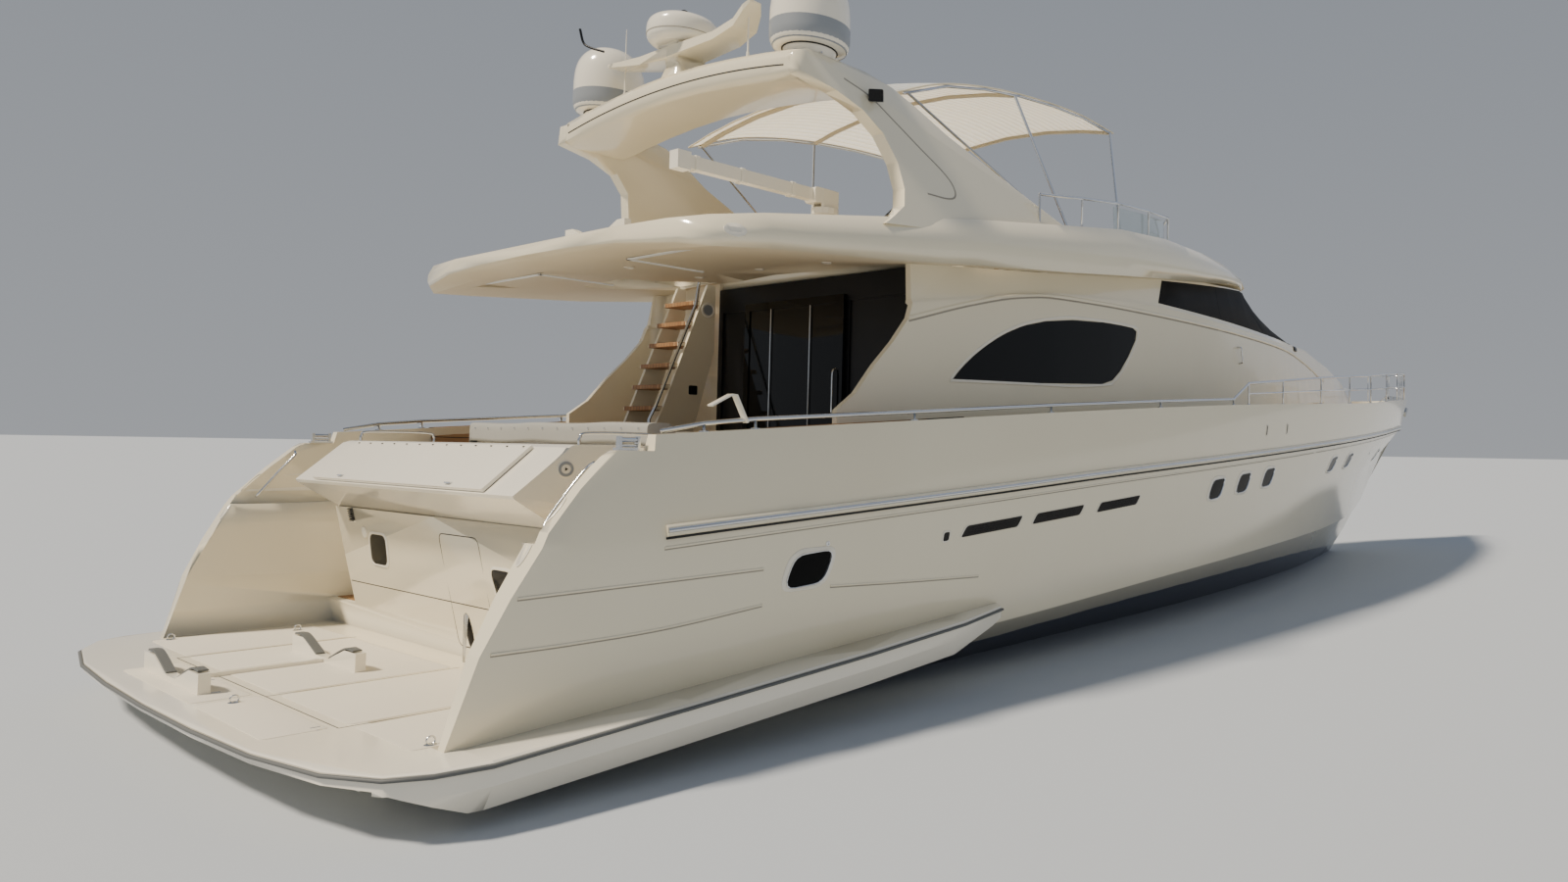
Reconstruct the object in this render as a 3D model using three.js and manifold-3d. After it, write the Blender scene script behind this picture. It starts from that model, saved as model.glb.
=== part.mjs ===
/**
 * Motor yacht with a flybridge, about 24.5 m long, as separate pieces.
 * Millimetres, +X toward the bow, +Y to port, +Z up, origin amidships on the centreline at the water.
 * Inside this source X is counted from the aft edge of the swim platform; every piece is
 * moved aft by MIDSHIP when it is named.
 */
import * as THREE from 'three';
import { mergeVertices } from 'three/addons/utils/BufferGeometryUtils.js';
import Module from 'manifold-3d';

const wasm = await Module();
wasm.setup();

const MIDSHIP = 12200;
const SEAM = 0.5;
const CLEAR = 6;
const FAR = 9000;
const MERGE = 0.001;

const yacht = new THREE.Group();
yacht.name = 'motor_yacht';

// Solids.

/** Turn a three.js geometry into a solid that takes booleans. */
function solid(geometry) {
  const plain = geometry.index ? geometry.toNonIndexed() : geometry;
  for (const extra of ['normal', 'uv']) plain.deleteAttribute(extra);
  const welded = mergeVertices(plain, MERGE);
  return new wasm.Manifold(new wasm.Mesh({
    numProp: 3,
    vertProperties: new Float32Array(welded.attributes.position.array),
    triVerts: new Uint32Array(welded.index.array),
  }));
}

const join = (...parts) => parts.reduce((whole, part) => whole.add(part));
const cut = (body, ...tools) => tools.reduce((rest, tool) => rest.subtract(tool), body);
const largest = (body) => body.decompose().sort((a, b) => b.volume() - a.volume())[0];
const mirrored = (body) => body.mirror([0, 1, 0]);

/** Rows of numbers as records with named columns. */
const table = (names, rows) =>
  rows.map((row) => Object.fromEntries(names.map((name, k) => [name, row[k]])));

/** Smooth value of one column at x, through every row (cubic through neighbouring rows). */
function along(rows, column, x) {
  const last = rows.length - 1;
  let i = 0;
  while (i < last - 1 && x > rows[i + 1].x) i += 1;
  const slope = (k) => {
    const before = rows[Math.max(0, k - 1)];
    const after = rows[Math.min(last, k + 1)];
    return (after[column] - before[column]) / (after.x - before.x);
  };
  const span = rows[i + 1].x - rows[i].x;
  const t = Math.min(1, Math.max(0, (x - rows[i].x) / span));
  const t2 = t * t;
  const t3 = t2 * t;
  return (2 * t3 - 3 * t2 + 1) * rows[i][column] + (t3 - 2 * t2 + t) * span * slope(i)
    + (3 * t2 - 2 * t3) * rows[i + 1][column] + (t3 - t2) * span * slope(i + 1);
}

/** Straight-line value of one column at x. */
function straight(rows, column, x) {
  let i = 0;
  while (i < rows.length - 2 && x > rows[i + 1].x) i += 1;
  const t = (x - rows[i].x) / (rows[i + 1].x - rows[i].x);
  return rows[i][column] + t * (rows[i + 1][column] - rows[i][column]);
}

/** Solid through closed rings of [x, y, z] points, all of the same count, with flat ends. */
function loft(rings) {
  const count = rings[0].length;
  const points = rings.flat();
  const faces = [];
  for (let r = 0; r < rings.length - 1; r += 1) {
    for (let k = 0; k < count; k += 1) {
      const next = (k + 1) % count;
      const a = r * count + k;
      const b = r * count + next;
      faces.push(a, b, b + count, a, b + count, a + count);
    }
  }
  for (const end of [0, rings.length - 1]) {
    const ring = rings[end];
    const spread = (axis) => Math.max(...ring.map((p) => p[axis])) - Math.min(...ring.map((p) => p[axis]));
    const flatAxis = [0, 1, 2].sort((a, b) => spread(a) - spread(b))[0];
    const [u, v] = [0, 1, 2].filter((axis) => axis !== flatAxis);
    const outline = ring.map((p) => new THREE.Vector2(p[u], p[v]));
    const turn = THREE.ShapeUtils.isClockWise(outline);
    const cap = THREE.ShapeUtils.triangulateShape(outline, []);
    for (const [i, j, k] of cap) {
      const same = (end === 0) !== turn;
      const base = end * count;
      if (same) faces.push(base + i, base + k, base + j);
      else faces.push(base + i, base + j, base + k);
    }
  }
  const geometry = new THREE.BufferGeometry();
  geometry.setAttribute('position', new THREE.Float32BufferAttribute(points.flat(), 3));
  geometry.setIndex(faces);
  return facingOut(geometry);
}

/** Make a solid of a closed geometry whose end faces or sides may be turned inward. */
function facingOut(geometry) {
  const index = geometry.index.array;
  const position = geometry.attributes.position;
  const corner = (k) => new THREE.Vector3().fromBufferAttribute(position, k);
  const edges = new Map();
  for (let f = 0; f < index.length; f += 3) {
    for (let e = 0; e < 3; e += 1) {
      const a = index[f + e];
      const b = index[f + (e + 1) % 3];
      const key = a < b ? `${a}_${b}` : `${b}_${a}`;
      if (!edges.has(key)) edges.set(key, []);
      edges.get(key).push([f, a < b]);
    }
  }
  const done = new Set([0]);
  const queue = [0];
  while (queue.length) {
    const f = queue.pop();
    for (let e = 0; e < 3; e += 1) {
      const a = index[f + e];
      const b = index[f + (e + 1) % 3];
      const key = a < b ? `${a}_${b}` : `${b}_${a}`;
      for (const [other, forward] of edges.get(key)) {
        if (other === f || done.has(other)) continue;
        if (forward === (a < b)) {
          const swap = index[other + 1];
          index[other + 1] = index[other + 2];
          index[other + 2] = swap;
          for (let g = 0; g < 3; g += 1) {
            const c = index[other + g];
            const d = index[other + (g + 1) % 3];
            const side = c < d ? `${c}_${d}` : `${d}_${c}`;
            const entry = edges.get(side).find((item) => item[0] === other);
            entry[1] = c < d;
          }
        }
        done.add(other);
        queue.push(other);
      }
    }
  }
  let volume = 0;
  for (let f = 0; f < index.length; f += 3) {
    volume += corner(index[f]).dot(corner(index[f + 1]).cross(corner(index[f + 2])));
  }
  if (volume < 0) {
    for (let f = 0; f < index.length; f += 3) {
      const swap = index[f + 1];
      index[f + 1] = index[f + 2];
      index[f + 2] = swap;
    }
  }
  return solid(geometry);
}

/** Solid of a turned geometry, its corners merged and its faces of no area dropped. */
function weldedSolid(geometry) {
  const plain = geometry.toNonIndexed();
  for (const extra of ['normal', 'uv']) plain.deleteAttribute(extra);
  const welded = mergeVertices(plain, MERGE);
  const corners = welded.index.array;
  const kept = [];
  for (let f = 0; f < corners.length; f += 3) {
    const [a, b, c] = corners.slice(f, f + 3);
    if (a !== b && b !== c && a !== c) kept.push(a, b, c);
  }
  welded.setIndex(kept);
  return facingOut(welded);
}

/** Solid through starboard half rings that close on the centreline, with its port half. */
function symmetric(rings) {
  const half = loft(rings);
  return join(half, mirrored(half));
}

/** Body made fuller by a seam on every side, to cut a neighbour clear of it. */
function swell(body, by = SEAM) {
  const ways = [[1, 0, 0], [-1, 0, 0], [0, 1, 0], [0, -1, 0], [0, 0, 1], [0, 0, -1]];
  return join(body, ...ways.map((way) => body.translate(way.map((part) => part * by))));
}

/** Block between two corners. */
function block(x0, x1, y0, y1, z0, z1) {
  const geometry = new THREE.BoxGeometry(x1 - x0, y1 - y0, z1 - z0);
  geometry.translate((x0 + x1) / 2, (y0 + y1) / 2, (z0 + z1) / 2);
  return solid(geometry);
}

/** Side-view outline [x, z] carried across from y0 to y1. */
const across = (outline, y0, y1) =>
  loft([y0, y1].map((y) => outline.map(([x, z]) => [x, y, z])));

/** Plan outline [x, y] carried up from z0 to z1. */
const upward = (outline, z0, z1) =>
  loft([z0, z1].map((z) => outline.map(([x, y]) => [x, y, z])));

/** Outline moved inward by a distance, for plan shapes given in order round their edge. */
function inset(outline, distance) {
  const area = outline.reduce((sum, [x, y], k) => {
    const [nx, ny] = outline[(k + 1) % outline.length];
    return sum + x * ny - nx * y;
  }, 0);
  const turn = Math.sign(area);
  return outline.map(([x, y], k) => {
    const [px, py] = outline[(k + outline.length - 1) % outline.length];
    const [nx, ny] = outline[(k + 1) % outline.length];
    const a = new THREE.Vector2(x - px, y - py).normalize();
    const b = new THREE.Vector2(nx - x, ny - y).normalize();
    const inward = new THREE.Vector2(-(a.y + b.y), a.x + b.x).normalize().multiplyScalar(turn);
    const stretch = Math.max(0.5, inward.dot(new THREE.Vector2(-b.y, b.x)) * turn);
    return [x + inward.x * distance / stretch, y + inward.y * distance / stretch];
  });
}

/** Round bar along points, with a flat end at each side. */
function bar(points, radius, sides = 6) {
  const way = points.map((p) => new THREE.Vector3(...p));
  const rings = [];
  let across0 = null;
  way.forEach((here, k) => {
    const back = way[Math.max(0, k - 1)];
    const ahead = way[Math.min(way.length - 1, k + 1)];
    const tangent = ahead.clone().sub(back).normalize();
    const helper = Math.abs(tangent.z) > 0.9 ? new THREE.Vector3(1, 0, 0) : new THREE.Vector3(0, 0, 1);
    const u = across0 ? across0.clone().addScaledVector(tangent, -across0.dot(tangent)).normalize()
      : helper.cross(tangent).normalize();
    across0 = u;
    const v = tangent.clone().cross(u);
    rings.push(Array.from({ length: sides }, (_, s) => {
      const angle = (2 * Math.PI * (s + 0.5)) / sides;
      const p = here.clone().addScaledVector(u, radius * Math.cos(angle))
        .addScaledVector(v, radius * Math.sin(angle));
      return [p.x, p.y, p.z];
    }));
  });
  return loft(rings);
}

/** Body turned about the upright line through (x, y): profile of [radius, z]. */
function turned(profile, x, y, sides = 20) {
  const geometry = new THREE.LatheGeometry(profile.map(([r, z]) => new THREE.Vector2(r, z)), sides);
  geometry.rotateX(Math.PI / 2);
  geometry.translate(x, y, 0);
  return weldedSolid(geometry);
}

/** Name a finished body and set it in the yacht. */
function piece(name, body, colour = 0xf1ecdf) {
  const mesh = body.translate([-MIDSHIP, 0, 0]).getMesh();
  const geometry = new THREE.BufferGeometry();
  const corners = new Float32Array(mesh.numVert * 3);
  for (let k = 0; k < mesh.numVert; k += 1) {
    for (let axis = 0; axis < 3; axis += 1) {
      corners[3 * k + axis] = mesh.vertProperties[k * mesh.numProp + axis];
    }
  }
  geometry.setAttribute('position', new THREE.BufferAttribute(corners, 3));
  geometry.setIndex(Array.from(mesh.triVerts));
  geometry.computeVertexNormals();
  const node = new THREE.Mesh(geometry, new THREE.MeshStandardMaterial({ color: colour }));
  node.name = name;
  yacht.add(node);
}

/** The same piece on both sides, built to starboard (y below zero). */
function pair(name, body, colour) {
  piece(`${name}_starboard`, body, colour);
  piece(`${name}_port`, mirrored(body), colour);
}

const CREAM = 0xf1ecdf;
const WHITE = 0xf7f6f2;
const STEEL = 0xc9ccd0;
const BLACK = 0x1b1c1e;
const GLASS = 0x22272b;
const TEAK = 0xa9794b;
const CANVAS = 0xe6dcc4;
const LEATHER = 0xc9a57c;
const BRONZE = 0xa98246;

// Hull.

const hullRows = table(
  ['x', 'keel', 'chineY', 'chineZ', 'flare', 'rubY', 'rubZ', 'topY', 'topZ'],
  [
    [700, -700, 2760, 330, 0, 2905, 1500, 2700, 2130],
    [2000, -780, 2800, 400, 0, 2950, 1598, 2790, 2235],
    [4000, -880, 2850, 500, 0, 3020, 1730, 2940, 2385],
    [6000, -950, 2870, 600, 0, 3050, 1880, 3000, 2535],
    [8000, -1000, 2850, 710, 10, 3045, 2008, 3020, 2672],
    [10000, -1030, 2770, 800, 20, 2980, 2130, 2995, 2795],
    [12000, -1040, 2560, 860, 40, 2860, 2255, 2905, 2900],
    [14000, -1000, 2220, 890, 70, 2660, 2375, 2730, 3000],
    [16000, -880, 1790, 920, 100, 2370, 2495, 2460, 3105],
    [18000, -590, 1290, 990, 140, 1990, 2615, 2110, 3240],
    [20000, 0, 720, 1180, 170, 1520, 2735, 1660, 3370],
    [21500, 1010, 360, 1600, 150, 1110, 2810, 1260, 3440],
    [23000, 2000, 120, 2250, 70, 530, 2885, 680, 3515],
    [24000, 2670, 30, 2760, 10, 150, 2935, 290, 3560],
    [24420, 2942, 8, 2948, 0, 20, 2956, 90, 3580],
    [24560, 3300, 6, 3330, 0, 10, 3360, 16, 3590],
  ],
);
const hullStations = [700, 1300, ...Array.from({ length: 22 }, (_, k) => 2000 + 1000 * k),
  23500, 24000, 24420, 24560];
const CHINE_FLAT = 70;
const DEADRISE_HOLLOW = 40;

/** Starboard half of a hull section from keel to bulwark top, as [half breadth, z]. */
function hullSide(x, grow = 0) {
  const at = (column) => along(hullRows, column, x);
  const flat = Math.min(CHINE_FLAT, at('chineY') * 0.3);
  return [
    [0, at('keel') - grow],
    [at('chineY') * 0.5, (at('keel') + at('chineZ')) / 2 - DEADRISE_HOLLOW * at('chineY') / 2800 - grow],
    [at('chineY') - flat + grow, at('chineZ') - flat * 0.5 - grow],
    [at('chineY') + grow, at('chineZ')],
    [(at('chineY') + at('rubY')) / 2 - at('flare') + grow, (at('chineZ') + at('rubZ')) / 2],
    [at('rubY') + grow, at('rubZ')],
    [at('topY') + grow, at('topZ') + grow],
  ];
}

/** Half breadth of the hull at a height. */
function breadth(x, z) {
  const side = hullSide(x);
  for (let k = side.length - 1; k > 0; k -= 1) {
    const [y1, z1] = side[k];
    const [y0, z0] = side[k - 1];
    if (z >= z0 || k === 1) return y0 + ((z - z0) / (z1 - z0)) * (y1 - y0);
  }
  return 0;
}

function hullBody(grow = 0) {
  return symmetric(hullStations.map((station, k) => {
    const x = station + (k === 0 ? -grow : k === hullStations.length - 1 ? grow : 0);
    const side = hullSide(station, grow);
    return [...side, [0, side[side.length - 1][1]]].map(([y, z]) => [x, -y, z]);
  }));
}

const deckRows = table(['x', 'z'], [[0, 1550], [2000, 1550], [5000, 1600], [8000, 1860],
  [12000, 2160], [16000, 2510], [20000, 2960], [23800, 3270]]);
const deckZ = (x) => straight(deckRows, 'z', x);
const BULWARK = 110;
const WELL_HEAD = 3000;
const wellStations = [600, 1300, ...Array.from({ length: 22 }, (_, k) => 2000 + 1000 * k), 23500];

/** Everything above the deck and inside the bulwarks. */
function deckWell(lift = 0) {
  return symmetric(wellStations.map((station) => {
    const x = Math.max(station, 700);
    const floor = deckZ(station) + lift;
    const low = breadth(x, deckZ(station)) - BULWARK - lift;
    const high = along(hullRows, 'topY', x) - BULWARK - lift;
    const top = along(hullRows, 'topZ', x);
    return [[station, 0, top + WELL_HEAD], [station, -high, top + WELL_HEAD], [station, -high, top],
      [station, -low, floor], [station, 0, floor]];
  }));
}

const PLATFORM_Z = 400;
const WING_INNER = 2690;
const STAIR_INNER = 2010;
const STEP_RISE = 230;
const STEP_GOING = 200;
const STAIR_FOOT_X = 1950;
const transomRecess = across([[500, PLATFORM_Z], [STAIR_FOOT_X, PLATFORM_Z], [1800, 1100],
  [1700, 1600], [500, 1600]], -WING_INNER, WING_INNER);
const wingRake = across([[0, 400], [700, 400], [840, 920], [980, 1240], [1180, 1620], [1400, 1880],
  [1600, 2080], [1660, 2120], [1900, 2120], [1960, 2400], [1960, 4000], [0, 4000]], -FAR, FAR);
const stairCuts = [-1, 1].flatMap((side) => [1, 2, 3, 4].map((k) => {
  const y = [STAIR_INNER * side, WING_INNER * side].sort((a, b) => a - b);
  return block(500, STAIR_FOOT_X + STEP_GOING * k, y[0], y[1], PLATFORM_Z + STEP_RISE * k, 2600);
}));
const saloonFloorCut = block(4900, 11900, -2050, 2050, 1600, 4000);
const enginePocket = block(5500, 8500, -1900, 1900, 250, 1700);
const RUDDER = { x: 1180, y: 1000, gland: -385 };
const glands = [-1, 1].map((side) => bar([[RUDDER.x, side * RUDDER.y, RUDDER.gland],
  [RUDDER.x, side * RUDDER.y, -200]], 50, 12));
const hull = largest(cut(join(hullBody(), ...glands), deckWell(), transomRecess, wingRake, ...stairCuts,
  saloonFloorCut, enginePocket));
piece('hull', hull, CREAM);

// Rub rail: one half-round run round both sides and the stem.
const railStations = [1900, 3000, ...Array.from({ length: 9 }, (_, k) => 5000 + 2000 * k), 22500, 23500, 24200];
const rubPath = (side) => railStations.map((x) => [x, side * (along(hullRows, 'rubY', x) + 12),
  along(hullRows, 'rubZ', x)]);
const rubRail = bar([...rubPath(-1), [24470, 0, 2960], ...rubPath(1).reverse()], 26);
piece('rub_rail', largest(cut(rubRail, hullBody(SEAM))), STEEL);

// Swim platform with a ledge running forward on each side.
const LEDGE_FOOT = 800;
const platformHalf = [[0, 0], [15, 1000], [60, 1900], [170, 2600], [330, 2960], [520, 3090],
  [LEDGE_FOOT, 3140], [2000, 3170], [3500, 3190], [4600, 3150], [5200, 3040], [5300, 2900]];
const platformPlan = [...platformHalf.map(([x, y]) => [x, -y]), [5300, 0],
  ...platformHalf.slice(1).reverse()];
const LEDGE_ROOT = 2000;
const LEDGE_SLOPE = 0.078;
const ledgeLift = (x) => Math.max(0, x - LEDGE_FOOT) * LEDGE_SLOPE;
const platformRing = (distance, z) => inset(platformPlan, distance).map(([x, y]) => [x, y, z]);
const platformLevels = [[100, 110], [0, 260], [0, 388], [12, PLATFORM_Z]];
const aftOnly = block(LEDGE_FOOT, 6000, -FAR, FAR, -FAR, FAR);
const ledgeStations = platformHalf.filter(([x]) => x >= LEDGE_FOOT);
const ledge = loft(ledgeStations.map(([x, y]) => [
  ...platformLevels.map(([distance, z]) => [y - distance, z]),
  [LEDGE_ROOT, PLATFORM_Z], [LEDGE_ROOT, platformLevels[0][1]],
].map(([py, z]) => [x, -py, z + ledgeLift(x)])));
const platformPlate = loft(platformLevels.map(([distance, z]) => platformRing(distance, z)));
const platformBlock = join(cut(platformPlate, aftOnly), ledge, mirrored(ledge));
const platformUnder = across([[-200, 0], [1300, 60], [420, 300], [-200, 345]], -2900, 2900);
const cornerUnder = across([[-200, 0], [760, 0], [720, 112], [350, 285], [-200, 300]], -FAR, FAR);
const ledgeRise = across([[4300, 0], [5600, 0], [5600, 760], [5180, 640], [4560, 400]], -FAR, FAR);
const edgeBracket = block(290, 450, -2760, -2230, 235, 345);
const platform = largest(cut(join(cut(platformBlock, platformUnder), edgeBracket),
  hullBody(SEAM), cornerUnder, ledgeRise));
piece('swim_platform', platform, WHITE);

const STRIP_Z = 372;
const stripOuter = inset(platformPlan, -10);
const half = platformHalf.length;
const stripRun = [...stripOuter.slice(0, half - 1).reverse(), ...stripOuter.slice(half + 1).reverse()]
  .map(([x, y]) => [x, y, STRIP_Z + ledgeLift(x)]);
piece('platform_strip', cut(bar(stripRun, 13), swell(platform)), BLACK);

// Chocks for the tender on the platform.
const chockOutline = (half, inner, tall) => [[-half, 0], [half, 0], [half, tall], [inner, tall], [120, 40],
  [-120, 40], [-inner, tall], [-half, tall]];

/** Two chocks of one outline across the yacht, at two places, with a keel strip between them. */
function cradle(outline, places, wide, y0, z0) {
  const chock = (x) => loft([x, x + wide].map((px) => outline.map(([y, z]) => [px, y + y0, z0 + z])));
  return join(...places.map(chock), block(places[0], places[1] + wide, y0 - 30, y0 + 30, z0, z0 + 30));
}
piece('tender_cradle', cradle(chockOutline(650, 430, 144), [260, 1180], 70, 550, PLATFORM_Z + SEAM), WHITE);

// Flybridge moulding.

const roofRows = table(['x', 'half', 'low', 'edge'], [
  [2350, 1500, 3730, 3860], [2450, 2150, 3685, 3880], [2600, 2430, 3655, 3905], [3000, 2540, 3690, 3980],
  [4200, 2600, 3790, 4180], [5300, 2600, 3920, 4370], [6900, 2570, 4090, 4610], [8000, 2510, 4225, 4780],
  [9200, 2380, 4370, 4890], [10500, 2180, 4530, 4940], [11500, 1960, 4670, 4960], [12500, 1640, 4800, 4975],
  [13400, 1220, 4880, 4985], [14100, 700, 4925, 4985], [14450, 200, 4950, 4980],
]);
const CAMBER = 110;
const FLY_SOLE = 3960;
const TUB_BOTTOM = 3880;
const BOAT_DECK = 3985;

function roofLoft(grow = 0) {
  return symmetric(roofRows.map((row, k) => {
    const x = row.x + (k === 0 ? -grow : k === roofRows.length - 1 ? grow : 0);
    const tall = row.edge - row.low;
    const camber = Math.min(CAMBER, tall * 0.35);
    const edge = [
      [row.half - 190, row.edge + grow + 6], [row.half - 120 + grow, row.edge + grow],
      [row.half - 15 + grow, row.low + tall * 0.62], [row.half + grow, row.low + tall * 0.28],
      [row.half - 50 + grow, row.low - grow],
    ].map(([y, z]) => [Math.max(y, 20), z]);
    const under = [[Math.max(row.half * 0.55, 10), row.low + camber * 0.8 - grow]];
    return [[0, row.edge + grow + 6], ...edge, ...under, [0, row.low + camber - grow]]
      .map(([y, z]) => [x, -y, z]);
  }));
}
const tub = (grow = 0) => block(5000 - grow, 9350 + grow, -1960 - grow, 1960 + grow, TUB_BOTTOM - grow, 4300);
const roofBody = (grow = 0) => join(roofLoft(grow), tub(grow));
const roofHalf = (x) => along(roofRows, 'half', x);
const roofEdge = (x) => along(roofRows, 'edge', x);
const planStations = (x0, x1, n) => Array.from({ length: n }, (_, k) => x0 + ((x1 - x0) * k) / (n - 1));
const halfPlan = (stations, side) => [...stations.map((x) => [x, -side(x)]),
  ...stations.slice().reverse().map((x) => [x, side(x)])];
const COAMING = 230;
const boatDeck = upward(halfPlan(planStations(2550, 5000, 6), (x) => roofHalf(x) - COAMING), BOAT_DECK, 6000);
const wellSides = halfPlan(planStations(5080, 9000, 7), (x) => roofHalf(x) - COAMING - 100);
const wellFront = [[9250, -1700], [9280, 0], [9250, 1700]];
const flyWell = upward([...wellSides.slice(0, 7), ...wellFront, ...wellSides.slice(7)], FLY_SOLE, 6000);
const stairHatch = block(3750, 4880, 880, 1650, 3000, 6000);
const underPanels = [-1900, 700].map((y) => block(2800, 3650, y, y + 1200, 3000, 3752));
const moulding = largest(cut(roofBody(), boatDeck, flyWell, stairHatch, ...underPanels));
piece('flybridge_moulding', moulding, CREAM);

// Deckhouse.

const houseRows = table(
  ['x', 'baseY', 'shoulderY', 'shoulderZ', 'topY', 'topZ', 'crown'],
  [
    [3800, 2250, 2230, 3400, 2120, 3900, 4000], [4700, 2250, 2230, 3500, 2120, 4000, 4100],
    [7000, 2250, 2220, 3880, 2110, 4300, 4400], [9200, 2200, 2170, 4020, 2070, 4500, 4600],
    [11000, 2120, 2060, 4020, 1900, 4600, 4720], [12400, 2000, 1890, 4020, 1640, 4720, 4850],
    [13400, 1900, 1740, 4020, 1180, 4820, 4900], [14150, 1820, 1610, 4030, 850, 4760, 4890],
    [15000, 1720, 1430, 4040, 900, 4340, 4520], [16000, 1600, 1220, 4050, 700, 4120, 4190],
    [16500, 1540, 1120, 4000, 650, 4060, 4090], [17500, 1380, 1000, 3860, 600, 3920, 3950],
    [18500, 1200, 850, 3660, 500, 3720, 3745], [19500, 980, 640, 3400, 380, 3450, 3470],
    [20300, 750, 420, 3060, 250, 3080, 3090],
  ],
);
const houseStations = [3800, 4700, 5800, 7000, 8100, 9200, 10100, 11000, 11700, 12400, 12900, 13400,
  13800, 14150, 14600, 15000, 15500, 16000, 16500, 17500, 18500, 19500, 20300];
const HOUSE_WALL = 60;

function houseBody(thin = 0, tail = 0, nose = 0) {
  return symmetric(houseStations.map((station, k) => {
    const at = (column) => along(houseRows, column, station);
    const x = station + (k === 0 ? -tail : k === houseStations.length - 1 ? -nose : 0);
    const side = [
      [at('baseY') - thin, thin ? 0 : 1000], [at('baseY') - thin, deckZ(station)],
      [at('shoulderY') - thin, at('shoulderZ') - thin * 0.3],
      [at('shoulderY') - 40 - thin, at('shoulderZ') + 40 - thin * 0.6],
      [at('topY') - thin, at('topZ') - thin], [at('topY') * 0.5, at('crown') - 25 - thin],
    ].map(([y, z]) => [Math.max(y, 5), z]);
    return [[0, side[0][1]], ...side, [0, at('crown') - thin]].map(([y, z]) => [x, -y, z]);
  }));
}
const END_X = 4960;
const BULKHEAD_Y = 1000;
const houseInside = houseBody(HOUSE_WALL, 400, 300);
const bulkhead = block(END_X, END_X + 40, BULKHEAD_Y, 2400, 1640 + SEAM, 4400).intersect(houseBody());
const houseShell = join(cut(houseBody(), houseInside), bulkhead);
const fashionRake = across([[3000, 1000], [3920, 1000], [3920, 2480], [4130, 2640], [4340, 2900],
  [4560, 3130], [4750, 3370], [4810, 3560], [4900, 4400], [3000, 4400]], -FAR, FAR);
const screenBand = [[9260, 4085], [16380, 4115], [16380, 4930], [14150, 4880], [13400, 4800],
  [12400, 4700], [11000, 4560], [9420, 4400]];
const saloonOutline = [[5330, 2830], [5500, 2990], [5750, 3170], [6080, 3350], [6420, 3480], [6800, 3570],
  [7300, 3640], [7980, 3685], [8560, 3690], [8660, 3650], [8640, 3540], [8480, 3330], [8290, 3130],
  [8120, 3010], [7900, 2950], [6600, 2880]];
const glassOf = (outer, inner, outline, y0, y1) =>
  cut(houseBody(outer), houseBody(inner)).intersect(across(inset(outline, SEAM * 0.8), y0, y1));
const mullions = [-700, 700].map((y) => block(13600, 16600, y - 45, y + 45, 3900, 5000))
  .map((post) => post.intersect(cut(houseBody(26), houseBody(90))));
const screenHole = cut(across(screenBand, -FAR, FAR), ...mullions);
const houseCuts = [roofBody(SEAM), fashionRake, screenHole, across(saloonOutline, -FAR, FAR)];
const hullClear = swell(hull);
const house = largest(cut(join(houseShell, ...mullions), ...houseCuts).intersect(deckWell(SEAM)));
piece('deckhouse', largest(cut(house, hullClear)), CREAM);
pair('saloon_window', largest(glassOf(6, 18, saloonOutline, -FAR, -1500)), GLASS);
const screen = cut(glassOf(6, 20, screenBand, -FAR, FAR), roofBody(SEAM + 2));
piece('windscreen', largest(screen), GLASS);

// Saloon sole over the engine space, with a plain block for each engine below it.
piece('saloon_sole', block(4900 + SEAM, 11900 - SEAM, -2050 + SEAM, 2050 - SEAM, 1600 + SEAM, 1640), TEAK);
pair('engine', block(5800, 8000, -1550, -550, 250 + SEAM, 1400), STEEL);

// Aft end of the saloon: fixed frame with one sliding leaf.
const endInner = (x, y0, y1, z0, z1) => block(x, x + 40, y0, y1, z0, z1)
  .intersect(houseBody(HOUSE_WALL + 0.6, 400, 300));
const endOpenings = [[-2080, -1180], [-1080, 420], [520, 920]].map(([y0, y1]) =>
  block(END_X - 50, END_X + 90, y0, y1, 1760, 3640));
const endFrame = largest(cut(endInner(END_X, -2300, BULKHEAD_Y - SEAM, 1642, 3900), roofBody(SEAM + 1),
  ...endOpenings, hullClear));
const endGlass = (y0, y1) => block(END_X + 14, END_X + 24, y0 - 5, y1 + 5, 1755, 3645)
  .intersect(houseBody(HOUSE_WALL + 3, 400, 300));
piece('saloon_end_frame', largest(join(endFrame, endGlass(-2080, -1180), endGlass(520, 920))), BLACK);
const doorLeaf = cut(block(END_X - 42, END_X - CLEAR, -1130, 470, 1700, 3700),
  block(END_X - 60, END_X, -1050, 390, 1780, 3620));
const doorGuides = [1700, 3655].map((z) => block(END_X - 12, END_X - 0.4, -1130, 470, z, z + 40));
const doorGlass = block(END_X - 30, END_X - 18, -1060, 400, 1770, 3630);
piece('saloon_door', join(doorLeaf, ...doorGuides, doorGlass), GLASS);

// Furniture seen through the glass.
piece('saloon_sofa', join(block(5600, 8800, -1950, -1250, 1640 + SEAM, 2050),
  block(5600, 8800, -1950, -1720, 1900, 2400)), LEATHER);
const DASH_HALF = 1150;
const dashTop = [[13150, 3100], [13150, 3650], [12900, 3650], [12500, 3300], [12500, 3100]];
const dash = join(block(12300, 13200, -DASH_HALF, DASH_HALF, 2150, 3300),
  across(dashTop, -DASH_HALF, DASH_HALF));
piece('wheelhouse_dash', largest(cut(dash, hullClear)), LEATHER);

// Cockpit and transom.

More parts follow.
